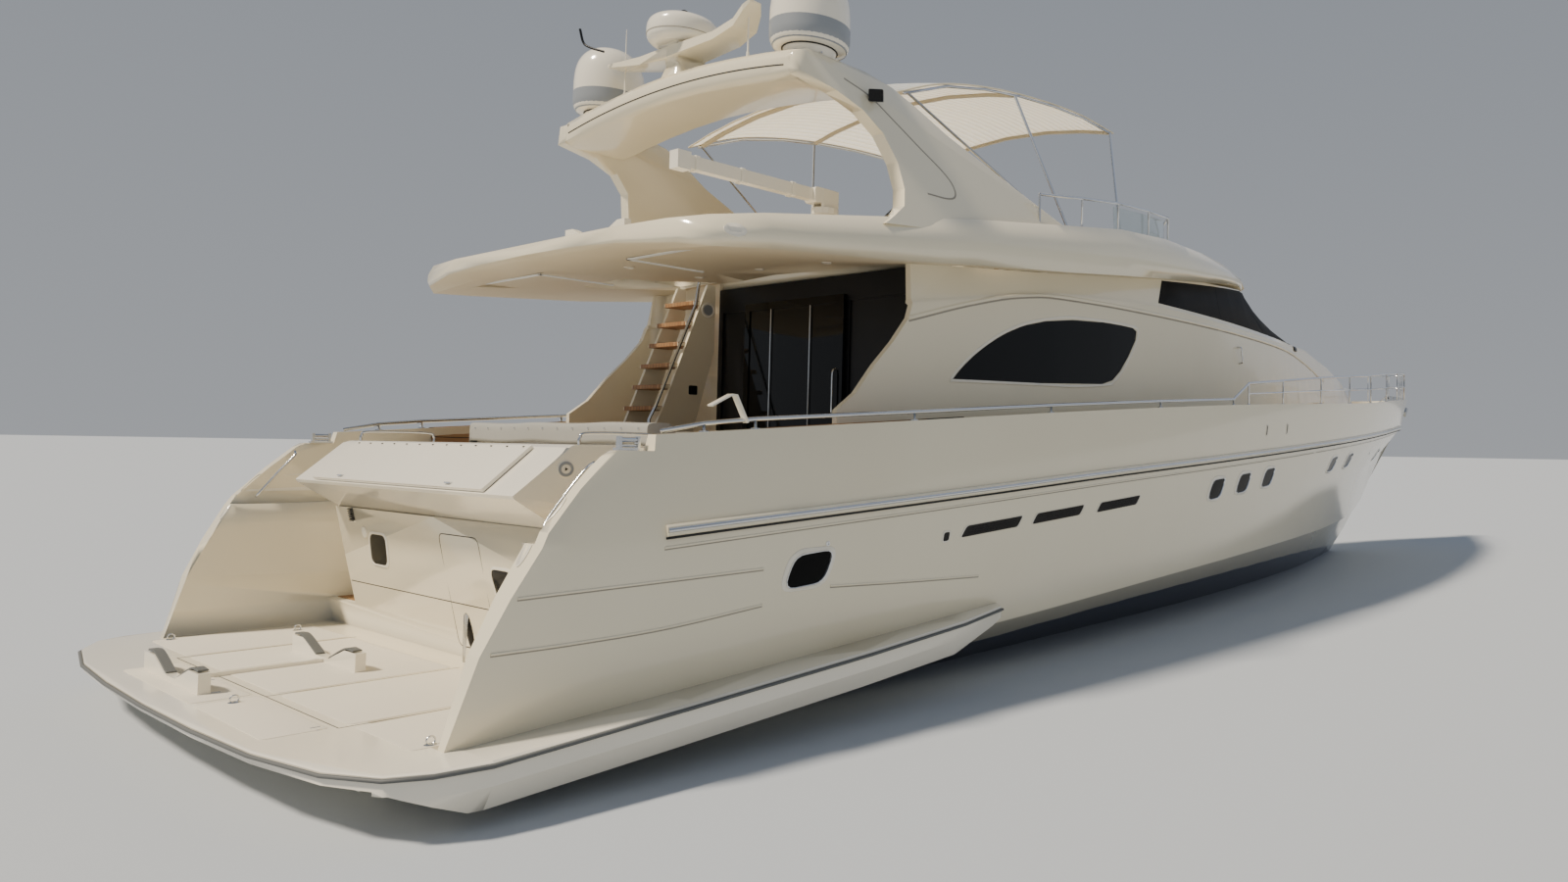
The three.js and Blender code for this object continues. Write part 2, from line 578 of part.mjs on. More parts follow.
const LOCKER_HALF = 1450;
const unitOutline = [[1730, 1550 + SEAM], [1405, 1775], [1390, 1800], [1740, 2130], [1800, 2150],
  [2620, 2150], [2620, 1550 + SEAM]];
const lockerInside = [[1480, 1885], [1700, 2092], [1850, 2040], [2450, 2040], [2450, 1640], [1760, 1640],
  [1520, 1790]];
const lockerMouth = [[1300, 1800], [1460, 1866], [1700, 2092], [1500, 2300]];
const transomUnit = cut(across(unitOutline, -1990, 1990),
  ...[lockerInside, lockerMouth].map((outline) => across(outline, -LOCKER_HALF, LOCKER_HALF)));
piece('transom_unit', largest(cut(transomUnit, hullClear)), WHITE);
const slope = new THREE.Vector2(1740 - 1390, 2130 - 1800).normalize();
const onSlope = (s, n) => [1390 + slope.x * s - slope.y * n, 1800 + slope.y * s + slope.x * n];
const lid = across([onSlope(15, CLEAR), onSlope(468, CLEAR), onSlope(468, 30), onSlope(15, 30)], -1560, 1560);
const HINGE_HALF = 1500;
const lidHinge = onSlope(478, 8.5);
const lidBarrel = bar([-HINGE_HALF, HINGE_HALF].map((y) => [lidHinge[0], y, lidHinge[1]]), 8, 12);
const lidLeaf = across([onSlope(460, 7), onSlope(478, 7), onSlope(478, 12), onSlope(460, 12)],
  -HINGE_HALF, HINGE_HALF);
piece('locker_lid', join(lid, lidBarrel, lidLeaf), WHITE);
const settee = join(block(2640, 3260, -1500, 1500, 1550 + SEAM, 1990),
  block(2640, 2820, -1500, 1500, 1900, 2290));
piece('cockpit_settee', settee.intersect(deckWell(SEAM)).subtract(hullClear), LEATHER);
const tableLeg = [[0, 1560], [220, 1560], [220, 1590], [50, 1600], [50, 2230], [0, 2230]];
const cockpitTable = join(turned(tableLeg, 3720, -300, 14), block(3400, 4040, -950, 350, 2225, 2260));
piece('cockpit_table', cut(cockpitTable, hullClear), TEAK);
const GATE = { x: 2616, hinge: -1999.5, low: 1640, high: 2110 };
pair('transom_gate', join(block(GATE.x - 10, GATE.x + 10, -2655, -2011, GATE.low, GATE.high),
  block(GATE.x - 3, GATE.x + 3, -2013, GATE.hinge, GATE.low, GATE.high),
  bar([[GATE.x, GATE.hinge, GATE.low], [GATE.x, GATE.hinge, GATE.high]], 9, 12)), STEEL);
const fairlead = join(block(1700, 1880, -2715, -2655, 2120 + SEAM, 2138),
  block(1715, 1735, -2705, -2665, 2130, 2215), block(1845, 1865, -2705, -2665, 2130, 2215),
  bar([[1720, -2685, 2190], [1860, -2685, 2190]], 18, 10),
  bar([[1720, -2685, 2153], [1860, -2685, 2153]], 12, 8));
pair('fairlead', cut(fairlead, hullClear), STEEL);

// Steep stair from the cockpit to the flybridge, with a broad panel on its inboard side.
const STAIR = { steps: 9, inner: 990, outer: 1600, foot: 3960, run: 890, floor: 1600, rise: 2360, tread: 115 };
const stairRun = (t) => [STAIR.foot + STAIR.run * t, STAIR.floor + STAIR.rise * t];
const treads = Array.from({ length: STAIR.steps }, (_, k) => {
  const [x, z] = stairRun((k + 1) / (STAIR.steps + 1));
  return block(x - STAIR.tread, x + STAIR.tread, STAIR.inner + 20, STAIR.outer - 20, z - 18, z + 18);
});
const panel = across([[3900, 1580], [4480, 1580], [4900, 3200], [4900, 3945], [4800, 3945], [4310, 2570]],
  STAIR.inner, STAIR.inner + 40);
const stringer = across([[3900, 1580], [4200, 1580], [4900, 3640], [4900, 3945], [4800, 3945]],
  STAIR.outer - 40, STAIR.outer);
const stairFeet = block(3900, 4200, STAIR.inner, STAIR.outer, 1580, 1625);
const stair = join(panel, stringer, stairFeet, ...treads);
piece('flybridge_stair', largest(cut(stair, hullClear, swell(moulding))), CREAM);
const RAIL_Y = 930;
const stairRail = bar([[4110, RAIL_Y, 1700], [4110, RAIL_Y, 2420], [4180, RAIL_Y, 2560], [4620, RAIL_Y, 3700],
  [4680, RAIL_Y, 4180], [4740, RAIL_Y, 4320], [4840, RAIL_Y, 4360], [4930, RAIL_Y, 4300]], 18);
piece('stair_handrail', largest(cut(join(stairRail, block(4080, 4140, RAIL_Y - 28, RAIL_Y + 28, 1565, 1720)),
  hullClear, swell(moulding))), STEEL);

// Radar arch and domes.

const legOutline = [[4130, 4100], [4260, 4190], [4430, 4320], [4500, 4500], [4510, 4760], [4430, 5020],
  [4250, 5200], [3980, 5310], [3620, 5380], [3600, 5560], [3760, 5640], [4420, 5640], [4740, 5580],
  [5020, 5450], [5350, 5265], [5850, 5060], [6380, 4840], [7000, 4600], [7150, 4400]];
const ARCH_LEAN = 0.42;
const legAt = (y) => legOutline.map(([x, z]) => [x, y + (z - 4400) * ARCH_LEAN, z]);
const leg = loft([legAt(-2440), legAt(-2290)]);
const beamRows = table(['y', 'rise'], [[-1880, 0], [-1500, 50], [-1000, 100], [-500, 135], [0, 148],
  [500, 135], [1000, 100], [1500, 50], [1880, 0]]);
const beamOutline = [[3600, 5520], [3620, 5400], [3700, 5350], [4280, 5350], [4400, 5430], [4430, 5540],
  [4330, 5630], [3760, 5640], [3640, 5600]];
const beam = loft(beamRows.map(({ y, rise }) => beamOutline.map(([x, z]) => [x, y, z + rise])));
const arch = largest(cut(join(leg, mirrored(leg), beam), roofBody(SEAM)));
piece('radar_arch', arch, CREAM);

const archClear = swell(arch);
const DOME_X = 3980;
const DOME_Y = 1680;
const domeProfile = [[0, 5620], [215, 5620], [225, 5690], [240, 5735], [325, 5750], [348, 5800],
  [352, 6020], [338, 6190], [285, 6330], [190, 6420], [90, 6455], [0, 6462]];
const dome = turned(domeProfile, DOME_X, -DOME_Y, 20);
pair('satellite_dome', largest(cut(dome, archClear)), WHITE);
const MAST_X = 3790;
const mastRows = table(['z', 'aft', 'fore', 'half'], [[5720, -150, 270, 150], [5860, -110, 190, 110],
  [5970, -130, 200, 120], [6058, -170, 240, 170]]);
const pedestal = loft(mastRows.map(({ z, aft, fore, half: w }) =>
  [[aft, -w], [fore, -w * 0.6], [fore, w * 0.6], [aft, w]].map(([x, y]) => [MAST_X + x, y, z])));
const wingRows = table(['y', 'z', 'thick', 'chord'], [[-1130, 6235, 30, 120], [-1080, 6150, 60, 200],
  [-980, 6020, 70, 260], [-700, 5950, 75, 300], [0, 5920, 100, 360], [500, 5950, 80, 320],
  [1230, 6090, 35, 170]]);
const wing = loft(wingRows.map(({ y, z, thick, chord }) =>
  [[-chord / 2, 0], [chord / 2, thick * 0.3], [chord / 2, thick * 0.7], [-chord / 2, thick]]
    .map(([x, up]) => [MAST_X + x, y, z + up])));
const mast = largest(cut(join(pedestal, wing), archClear));
piece('mast_wing', mast, CREAM);
const radomeProfile = [[0, 6058.5], [260, 6058.5], [325, 6100], [340, 6190], [315, 6290], [230, 6340],
  [0, 6352]];
piece('radome', turned(radomeProfile, MAST_X, 0, 20), WHITE);

// Flybridge fittings.

const coamingY = (x) => roofHalf(x) - COAMING;
const FLY_RAIL_RISE = 335;
const flyRailX = [6500, 7300, 8100, 8900, 9500];
const flyFront = [[9900, 1780], [10350, 1250], [10480, 0]];
const flyRailPath = (rise) => [...flyRailX.map((x) => [x, -coamingY(x), roofEdge(x) + rise]),
  ...flyFront.map(([x, y]) => [x, -y, roofEdge(x) + rise]),
  ...flyFront.slice(0, 2).reverse().map(([x, y]) => [x, y, roofEdge(x) + rise]),
  ...flyRailX.slice().reverse().map((x) => [x, coamingY(x), roofEdge(x) + rise])];
const flyTop = flyRailPath(FLY_RAIL_RISE);
const flyPosts = (radius) => flyTop.map(([x, y, z]) =>
  bar([[x, y, z], [x, y, z - FLY_RAIL_RISE - 60]], radius));
piece('flybridge_rail', largest(cut(join(bar(flyTop, 16), ...flyPosts(13)), roofBody(SEAM), archClear)), STEEL);
const DEFLECTOR = { rise: 290, tall: 340, lean: 16, thick: 8, inside: 40 };
const deflectorPath = flyRailPath(DEFLECTOR.rise).slice(2, -2)
  .map(([x, y, z]) => [x - 57, y - Math.sign(y) * DEFLECTOR.inside, z]);
const deflector = loft(deflectorPath.map(([x, y, z]) => [
  [x + DEFLECTOR.lean, y, z - DEFLECTOR.tall], [x + DEFLECTOR.lean + DEFLECTOR.thick, y, z - DEFLECTOR.tall],
  [x + DEFLECTOR.thick, y, z], [x, y, z]]));
piece('flybridge_windscreen', largest(cut(deflector, roofBody(SEAM), ...flyPosts(20))), GLASS);
const FLY_SEAT = 4380;
const FLY_BACK = 4780;
const flySettee = join(block(6000, 7800, 900, 1900, FLY_SOLE + SEAM, FLY_SEAT),
  block(6000, 7800, 1700, 1900, FLY_SEAT, FLY_BACK), block(7600, 7800, 400, 1900, FLY_SOLE + SEAM, FLY_BACK),
  block(7200, 7800, 400, 1000, FLY_SOLE + SEAM, FLY_SEAT));
piece('flybridge_settee', flySettee, LEATHER);
piece('flybridge_table', join(block(6350, 7000, 150, 750, 4640, 4675),
  bar([[6675, 450, FLY_SOLE + SEAM], [6675, 450, 4650]], 50, 10)), TEAK);
const consoleOutline = [[8620, FLY_SOLE + SEAM], [8560, 4560], [8760, 4880], [9180, 4980],
  [9200, FLY_SOLE + SEAM]];
piece('helm_console', join(across(consoleOutline, -1150, 150),
  bar([[8588.4, -450, 4640], [8700, -450, 4640]], 42, 12)), CREAM);
const WHEEL = { x: 8490, y: -450, z: 4640, radius: 190 };
const rim = (() => {
  const geometry = new THREE.TorusGeometry(WHEEL.radius, 14, 6, 20);
  geometry.rotateY(Math.PI / 2);
  geometry.translate(WHEEL.x, WHEEL.y, WHEEL.z);
  return weldedSolid(geometry);
})();
const spokes = [0, 1, 2].map((k) => {
  const angle = Math.PI / 2 + (2 * Math.PI * k) / 3;
  return bar([[WHEEL.x, WHEEL.y, WHEEL.z], [WHEEL.x, WHEEL.y + WHEEL.radius * Math.cos(angle),
    WHEEL.z + WHEEL.radius * Math.sin(angle)]], 10);
});
const wheelHub = bar([[WHEEL.x - 14, WHEEL.y, WHEEL.z], [8588, WHEEL.y, WHEEL.z]], 26, 10);
piece('helm_wheel', join(rim, ...spokes, wheelHub), BLACK);
const helmSeat = (y) => join(block(7900, 8300, y - 260, y + 260, 4420, 4540),
  across([[7860, 4500], [7960, 4500], [7900, 5080], [7820, 5080]], y - 260, y + 260),
  bar([[8100, y, FLY_SOLE + SEAM], [8100, y, 4450]], 60, 10));
const seatBridge = block(7950, 8250, -600, -530, 4430, 4500);
piece('helm_seats', join(helmSeat(-850), helmSeat(-280), seatBridge), LEATHER);

// Bimini: three hoops, runners along the sides and a curved canopy.
const canopyRows = table(['x', 'z'], [[4980, 5850], [5600, 6120], [6300, 6300], [7100, 6420], [8000, 6480],
  [8760, 6440]]);
const CANOPY_HALF = 1720;
const CANOPY_CROWN = 210;
const CANOPY_THICK = 14;
const canopyYs = [-CANOPY_HALF, -1300, -700, 0, 700, 1300, CANOPY_HALF];
const canopyPoint = (x, y, lift = 0) =>
  [x, y, along(canopyRows, 'z', x) - CANOPY_CROWN * (y / CANOPY_HALF) ** 2 + lift];
const canopyRing = (x) => [...canopyYs.map((y) => canopyPoint(x, y)),
  ...canopyYs.slice().reverse().map((y) => canopyPoint(x, y, CANOPY_THICK))];
const canopy = loft(planStations(4980, 8760, 10).map(canopyRing));
piece('bimini_canopy', canopy, CANVAS);
const HOOP = 16;
const underCanopy = (x, y) => canopyPoint(x, y, -HOOP - 1);
const hoop = (x, [footX, footY, footZ]) => bar([[footX, -footY, footZ],
  ...canopyYs.map((y) => underCanopy(x, y)), [footX, footY, footZ]], HOOP);
const runner = (y) => bar(planStations(5100, 8700, 7).map((x) => underCanopy(x, y)), HOOP);
const hoops = join(hoop(5150, [7050, 2230, 4600]), hoop(6800, [7200, 2230, 4600]),
  hoop(8680, [8250, 2200, 4780]), runner(-CANOPY_HALF), runner(CANOPY_HALF));
piece('bimini_frame', largest(cut(hoops, swell(canopy), roofBody(SEAM), archClear,
  bar(flyTop, 17), ...flyPosts(14))), STEEL);

// Crane for the boat deck.
const CRANE = { x: 4350, y: -1500, top: 4330, pin: 4495, cheek: 50, reach: 1500 };
const columnProfile = [[0, BOAT_DECK + SEAM], [190, BOAT_DECK + SEAM], [190, 4030], [120, 4050],
  [110, CRANE.top], [0, CRANE.top]];
piece('crane_column', turned(columnProfile, CRANE.x, CRANE.y, 14), WHITE);
const slewBase = [[0, CRANE.top + 0.4], [125, CRANE.top + 0.4], [125, CRANE.top + 60], [0, CRANE.top + 60]];
const cheeks = [-CRANE.cheek - 30, CRANE.cheek].map((y) =>
  block(CRANE.x - 90, CRANE.x + 90, CRANE.y + y, CRANE.y + y + 30, CRANE.top + 50, CRANE.pin + 65));
piece('crane_slew', join(turned(slewBase, CRANE.x, CRANE.y, 14), ...cheeks), WHITE);
const boom = block(CRANE.x - CRANE.reach, CRANE.x + 80, CRANE.y - 44, CRANE.y + 44, 4440, 4550);
const boomHead = block(CRANE.x - CRANE.reach - 60, CRANE.x - CRANE.reach + 60,
  CRANE.y - 60, CRANE.y + 60, 4420, 4570);
const boomPin = bar([-1, 1].map((side) => [CRANE.x, CRANE.y + side * (CRANE.cheek - 0.4), CRANE.pin]), 30, 12);
piece('crane_boom', join(boom, boomHead, boomPin), WHITE);
piece('boat_deck_cradle', cradle(chockOutline(500, 380, 150), [2900, 3560], 60, -100, BOAT_DECK + SEAM), WHITE);

// Rails and foredeck.

const capY = (x) => Math.max(along(hullRows, 'topY', x) - BULWARK / 2, 0);
const capZ = (x) => along(hullRows, 'topZ', x);
const railRows = table(['x', 'rise'], [[1990, 20], [2300, 60], [2700, 72], [9800, 72], [10250, 280],
  [11400, 330], [13000, 400], [15000, 470], [18500, 560], [22000, 620], [24300, 650]]);
const railX = [1990, 2300, 2700, 4200, 6000, 8000, 9800, 10250, 11400,
  ...Array.from({ length: 6 }, (_, k) => 13000 + 1600 * k), 22400, 23500, 24200];
const BOW_RAIL = { firstLow: 7, x: 24420, foot: 3590, rise: 650 };
const railPath = (side, share = 1) => railX.map((x) =>
  [x, side * capY(x), capZ(x) + share * straight(railRows, 'rise', x)]);
const bowTurn = (share) => [[BOW_RAIL.x, 0, BOW_RAIL.foot + share * BOW_RAIL.rise]];
const topRail = bar([...railPath(-1), ...bowTurn(1), ...railPath(1).reverse()], 17);
const lowPath = (side) => railPath(side, 0.5).slice(BOW_RAIL.firstLow);
const lowRail = bar([...lowPath(-1), ...bowTurn(0.5), ...lowPath(1).reverse()], 11);
const stanchions = [-1, 1].flatMap((side) => railX.slice(1).map((x) => bar([[x, side * capY(x), capZ(x) - 40],
  [x, side * capY(x), capZ(x) + straight(railRows, 'rise', x)]], 12)));
piece('bulwark_rail', largest(cut(join(topRail, lowRail, ...stanchions), hullClear)), STEEL);

const padStations = [16700, 17300, 17900, 18500];
const sunpad = loft(padStations.map((x) => {
  const z = along(houseRows, 'crown', x);
  const w = along(houseRows, 'topY', x);
  return [[x, -w - 150, z - 60], [x, w + 150, z - 60], [x, w + 150, z + 75], [x, -w - 150, z + 75]];
}));
piece('foredeck_sunpad', largest(cut(sunpad, houseBody(), swell(house))), CANVAS);
const hatchTilt = -Math.atan((3270 - 2960) / 3800);
const HATCH_X = 21300;
const hatchPlate = join(block(-300, 300, -280, 280, 0, 45), block(-306, -290, -240, 240, 0, 4),
  bar([[-306, -240, -0.5], [-306, 240, -0.5]], 5, 12));
piece('foredeck_hatch', hatchPlate.rotate([0, (hatchTilt * 180) / Math.PI, 0])
  .translate([HATCH_X, 0, deckZ(HATCH_X) + CLEAR]), WHITE);
const capstan = [[0, 3100], [140, 3100], [140, 3210], [90, 3230], [90, 3330], [120, 3350], [120, 3390],
  [0, 3390]];
const windlass = join(turned(capstan, 22500, 0, 14), block(22300, 22700, -170, 170, 3100, 3200));
piece('windlass', largest(cut(windlass, hullClear)), STEEL);
const rollerCheeks = [-60, 40].map((y) => block(23700, 24760, y, y + 20, 3600, 3680));
const rollerFloor = block(23700, 24760, -60, 60, 3500, 3604);
const roller = bar([[24700, -60, 3640], [24700, 60, 3640]], 34, 10);
const shank = across([[23900, 3650], [24740, 3660], [24860, 3560], [24700, 3300], [24600, 3260],
  [24730, 3540], [24680, 3600], [23900, 3620]], -18, 18);
const flukes = across([[24620, 3180], [24700, 3280], [24800, 3380], [24700, 3420], [24600, 3300]], -170, 170);
piece('bow_roller_anchor', largest(cut(join(...rollerCheeks, rollerFloor, roller, shank, flukes),
  hullBody(SEAM), topRail, lowRail)), STEEL);

// Under water.

const RUNNING = 0.4;
const HUB_HALF = 95;
const SHAFT = { aft: [1960, -1000, -830], fore: [5000, -1000, -420] };
const shaftDir = new THREE.Vector3(...SHAFT.fore).sub(new THREE.Vector3(...SHAFT.aft)).normalize();
const onShaft = (s) => new THREE.Vector3(...SHAFT.aft).addScaledVector(shaftDir, s).toArray();
const bracket = across([[2250, -900], [2420, -900], [2560, -280], [2250, -280]], -1022, -978);
const shaftRun = join(bar([onShaft(HUB_HALF + RUNNING), onShaft(3000)], 42, 10),
  bar([onShaft(260), onShaft(480)], 75, 12), bracket);
pair('shaft', largest(cut(shaftRun, hullBody(SEAM))), STEEL);
const bladeRows = table(['radius', 'chord', 'thick', 'pitch'],
  [[60, 70, 14, 55], [160, 120, 12, 42], [270, 130, 9, 30], [345, 90, 7, 22], [378, 30, 6, 18]]);
const blade = loft(bladeRows.map(({ radius, chord, thick, pitch }) => {
  const angle = (pitch * Math.PI) / 180;
  const [c, s] = [Math.cos(angle), Math.sin(angle)];
  return [[-chord, -thick], [chord, -thick], [chord, thick], [-chord, thick]].map(([u, v]) =>
    [u * s - v * c, u * c + v * s, radius]);
}));
const BLADES = 5;
const blades = Array.from({ length: BLADES }, (_, k) => blade.rotate([(360 / BLADES) * k, 0, 0]));
const hub = solid((() => {
  const geometry = new THREE.CylinderGeometry(70, 80, 2 * HUB_HALF, 14);
  geometry.rotateZ(Math.PI / 2);
  return geometry;
})());
const shaftTilt = (Math.asin(shaftDir.z) * 180) / Math.PI;
const propeller = join(hub, ...blades).rotate([0, -shaftTilt, 0]).translate(onShaft(0));
pair('propeller', propeller, BRONZE);
const rudderRows = table(['z', 'fore', 'aft', 'half'],
  [[-430, 1330, 860, 34], [-900, 1310, 850, 30], [-1240, 1260, 900, 22]]);
const rudderPlate = loft(rudderRows.map(({ z, fore, aft, half: t }) =>
  [[fore, 0], [fore - 160, t], [aft, 6], [aft, -6], [fore - 160, -t]].map(([x, y]) => [x, y - RUDDER.y, z])));
const rudderStock = bar([[RUDDER.x, -RUDDER.y, -600], [RUDDER.x, -RUDDER.y, RUDDER.gland - RUNNING]], 32, 10);
pair('rudder', join(rudderPlate, rudderStock), BRONZE);
const tabAngle = Math.atan(1030 / 2760);
const tab = (() => {
  const plate = block(-330, -9.5, -390, 390, -6, 6);
  const barrel = bar([[-9.5, -390, 0], [-9.5, 390, 0]], 9, 12);
  return join(plate, barrel).rotate([(-tabAngle * 180) / Math.PI, 0, 0])
    .translate([700, -1450, -700 + 1450 * Math.tan(tabAngle) - 16]);
})();
pair('trim_tab', tab, STEEL);

export default yacht;
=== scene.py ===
"""Looks of the motor yacht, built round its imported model.

Metres, +X to the bow, +Y to port, +Z up, origin amidships on the centreline at the water.
Shapes are worked out with X counted from the platform's aft edge, as in the part's source.
make_piece moves them into the frame, and Skin reads the frame's meshes back the same way.
"""
import logging
import math
from dataclasses import dataclass, field
from enum import Enum
from typing import Callable, Iterable, Optional, Sequence

import bmesh
import bpy
import numpy as np
from mathutils import Matrix, Vector


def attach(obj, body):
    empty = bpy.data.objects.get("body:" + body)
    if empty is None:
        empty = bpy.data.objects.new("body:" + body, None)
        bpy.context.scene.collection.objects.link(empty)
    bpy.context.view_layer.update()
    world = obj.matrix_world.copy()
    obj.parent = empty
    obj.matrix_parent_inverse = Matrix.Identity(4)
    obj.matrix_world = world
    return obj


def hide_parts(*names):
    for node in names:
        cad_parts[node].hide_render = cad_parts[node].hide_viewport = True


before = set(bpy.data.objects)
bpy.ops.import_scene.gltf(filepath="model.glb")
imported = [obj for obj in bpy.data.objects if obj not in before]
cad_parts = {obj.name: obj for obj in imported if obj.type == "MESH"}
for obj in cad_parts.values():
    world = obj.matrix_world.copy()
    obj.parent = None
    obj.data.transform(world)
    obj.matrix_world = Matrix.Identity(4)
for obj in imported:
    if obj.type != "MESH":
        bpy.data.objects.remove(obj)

LOG = logging.getLogger("yacht")
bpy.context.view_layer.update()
MIDSHIP = 12.2
BODY = "yacht"
PHOTO_WIDTH = 1600.0
SENSOR = 36.0
MERGE = 1e-5
FAR_OUT = 9.0
PLANES = {"XY": (0, 1, 2), "XZ": (0, 2, 1), "YZ": (1, 2, 0)}
Array = np.ndarray
Numbers = Sequence[float]
Points = Sequence[Sequence[float]]
Rows = tuple[tuple[float, ...], ...]
Cast = Callable[[Array], tuple[Array, Array]]
Object = bpy.types.Object
Socket = bpy.types.NodeSocket


def linear(code: str) -> tuple[float, float, float, float]:
    """Turn an sRGB hex colour such as "#efe9da" into linear red, green, blue and full alpha."""
    parts = [int(code[k:k + 2], 16) / 255 for k in (1, 3, 5)]
    return (*(p / 12.92 if p <= 0.04045 else ((p + 0.055) / 1.055) ** 2.4 for p in parts), 1.0)


@dataclass
class Recipe:
    """Shader tree of a material or of the world, and the socket that tells where a point is."""

    tree: bpy.types.NodeTree
    shader: Optional[bpy.types.Node] = None
    place: Optional[Socket] = None

    def node(self, kind: str, settings: Optional[dict] = None,
             links: Optional[dict] = None) -> bpy.types.Node:
        """Add a shader node.

        Args:
            kind: Blender's node type without the ShaderNode prefix.
            settings: Socket names, socket numbers or property names with their values.
            links: Input names or numbers with the output socket that feeds them.

        Returns:
            The new node.
        """
        made = self.tree.nodes.new("ShaderNode" + kind)
        for key, value in (settings or {}).items():
            if isinstance(key, int) or key in made.inputs:
                made.inputs[key].default_value = value
            else:
                setattr(made, key, value)
        for key, source in (links or {}).items():
            self.tree.links.new(source, made.inputs[key])
        return made

    def pattern(self, kind: str, settings: dict, place: Optional[Socket] = None,
                output: int = 0) -> Socket:
        """Texture laid out by the surface's own place, or by another socket."""
        return self.node(kind, settings, {"Vector": place or self.place}).outputs[output]

    def axis(self, number: int) -> Socket:
        """X, Y or Z of the surface's place."""
        return self.node("SeparateXYZ", links={0: self.place}).outputs[number]

    def reckon(self, operation: str, first: Socket, second: Socket | float = 0.5) -> Socket:
        """One sum of a socket with a socket or a number."""
        known = isinstance(second, (int, float))
        return self.node("Math", {"operation": operation, **({1: second} if known else {})},
                         {0: first, **({} if known else {1: second})}).outputs[0]

    def ranged(self, value: Socket, low: float, high: float, start: float = 0.0,
               end: float = 1.0) -> Socket:
        """Straight line from start at low to end at high, and level outside them."""
        limits = {"From Min": low, "From Max": high, "To Min": start, "To Max": end}
        return self.node("MapRange", limits, {"Value": value}).outputs[0]

    def mix(self, amount: Socket, first: Socket | str, second: Socket | str) -> Socket:
        """Blend two colours, each a hex code or a socket, by an amount."""
        made = self.node("Mix", {"data_type": "RGBA"}, {0: amount})
        for number, value in ((6, first), (7, second)):
            if isinstance(value, str):
                made.inputs[number].default_value = linear(value)
            else:
                self.tree.links.new(value, made.inputs[number])
        return made.outputs[2]

    def feed(self, name: str, source: Socket) -> None:
        """Link a socket to an input of the surface shader."""
        self.tree.links.new(source, self.shader.inputs[name])

    def fed(self, name: str) -> Socket:
        """What feeds an input of the surface shader."""
        return self.shader.inputs[name].links[0].from_socket


@dataclass(frozen=True)
class Finish:
    """One real material: its name, colour and how it returns light.

    pattern_mm is the real size of its grain, weave or ripple, and relief_mm the depth of it.
    """

    name: str
    colour: str
    second: str
    roughness: float
    pattern_mm: float
    relief_mm: float
    metallic: float = 0.0
    coat: float = 0.0
    sheen: float = 0.0
    ior: float = 1.5
    transmission: float = 0.0
    blend: float = 0.25
    specular: float = 0.5
    glow: float = 0.0
    slot: str = "gelcoat"

    def material(self) -> bpy.types.Material:
        """The finish as a Blender material, made once."""
        made = bpy.data.materials.get(self.name)
        if made:
            return made
        made = bpy.data.materials.new(self.name)
        made.use_nodes = True
        made.diffuse_color = linear(self.colour)
        recipe = Recipe(made.node_tree, made.node_tree.nodes["Principled BSDF"])
        values = {"Roughness": self.roughness, "Metallic": self.metallic}
        if not self.metallic:
            values["IOR"] = self.ior
        if self.coat:
            values |= {"Coat Weight": self.coat, "Coat Roughness": 0.04}
        if self.sheen:
            values |= {"Sheen Weight": self.sheen, "Sheen Roughness": 0.45}
        if self.transmission:
            values["Transmission Weight"] = self.transmission
        if self.specular != 0.5:
            values["Specular IOR Level"] = self.specular
        if self.glow:
            values |= {"Subsurface Weight": self.glow, "Subsurface Radius": (0.06, 0.045, 0.03),
                       "Subsurface Scale": 1.0}
        for name, value in values.items():
            recipe.shader.inputs[name].default_value = value
        recipe.place = recipe.node("TexCoord").outputs["Object"]
        self.dress(recipe)
        return made

    def scale(self) -> float:
        """Texture scale that repeats once per pattern_mm."""
        return 1000.0 / self.pattern_mm

    def bump(self, recipe: Recipe, height: Socket) -> None:
        """Raise the surface by relief_mm where the height socket is one."""
        recipe.feed("Normal", recipe.node("Bump", {"Strength": 1.0, "Distance": self.relief_mm / 1000},
                                          {"Height": height}).outputs[0])

    def dress(self, recipe: Recipe) -> None:
        """Cloudy colour of broad soft patches, with a fine ripple in the surface."""
        cloud = recipe.pattern("TexNoise", {"Scale": 0.9, "Detail": 3.0})
        soft = recipe.ranged(cloud, 0.3, 0.7, 0.0, self.blend)
        recipe.feed("Base Color", recipe.mix(soft, self.colour, self.second))
        self.bump(recipe, recipe.pattern("TexNoise", {"Scale": self.scale(), "Detail": 2.0}))
        recipe.feed("Roughness", recipe.ranged(cloud, 0.0, 1.0, self.roughness * 0.8,
                                               min(1.0, self.roughness * 1.25)))


@dataclass(frozen=True)
class HullPaint(Finish):
    """Gelcoat topsides over a navy boot band and bottom paint.

    The band's upper edge is a parabola along the hull: highest at crest_x, lower to both ends.
    """

    navy: str = "#141b3a"
    crest_x: float = -0.3
    crest_z: float = 0.465
    droop: float = 0.0052
    edge: float = 0.003

    def dress(self, recipe: Recipe) -> None:
        """Cream above z = crest_z - droop (x - crest_x) squared, navy below it."""
        super().dress(recipe)
        off = recipe.reckon("SUBTRACT", recipe.axis(0), self.crest_x)
        fall = recipe.reckon("MULTIPLY", recipe.reckon("MULTIPLY", off, off), self.droop)
        height = recipe.reckon("ADD", recipe.axis(2), fall)
        above = recipe.ranged(height, self.crest_z - self.edge, self.crest_z + self.edge)
        recipe.feed("Base Color", recipe.mix(above, self.navy, recipe.fed("Base Color")))


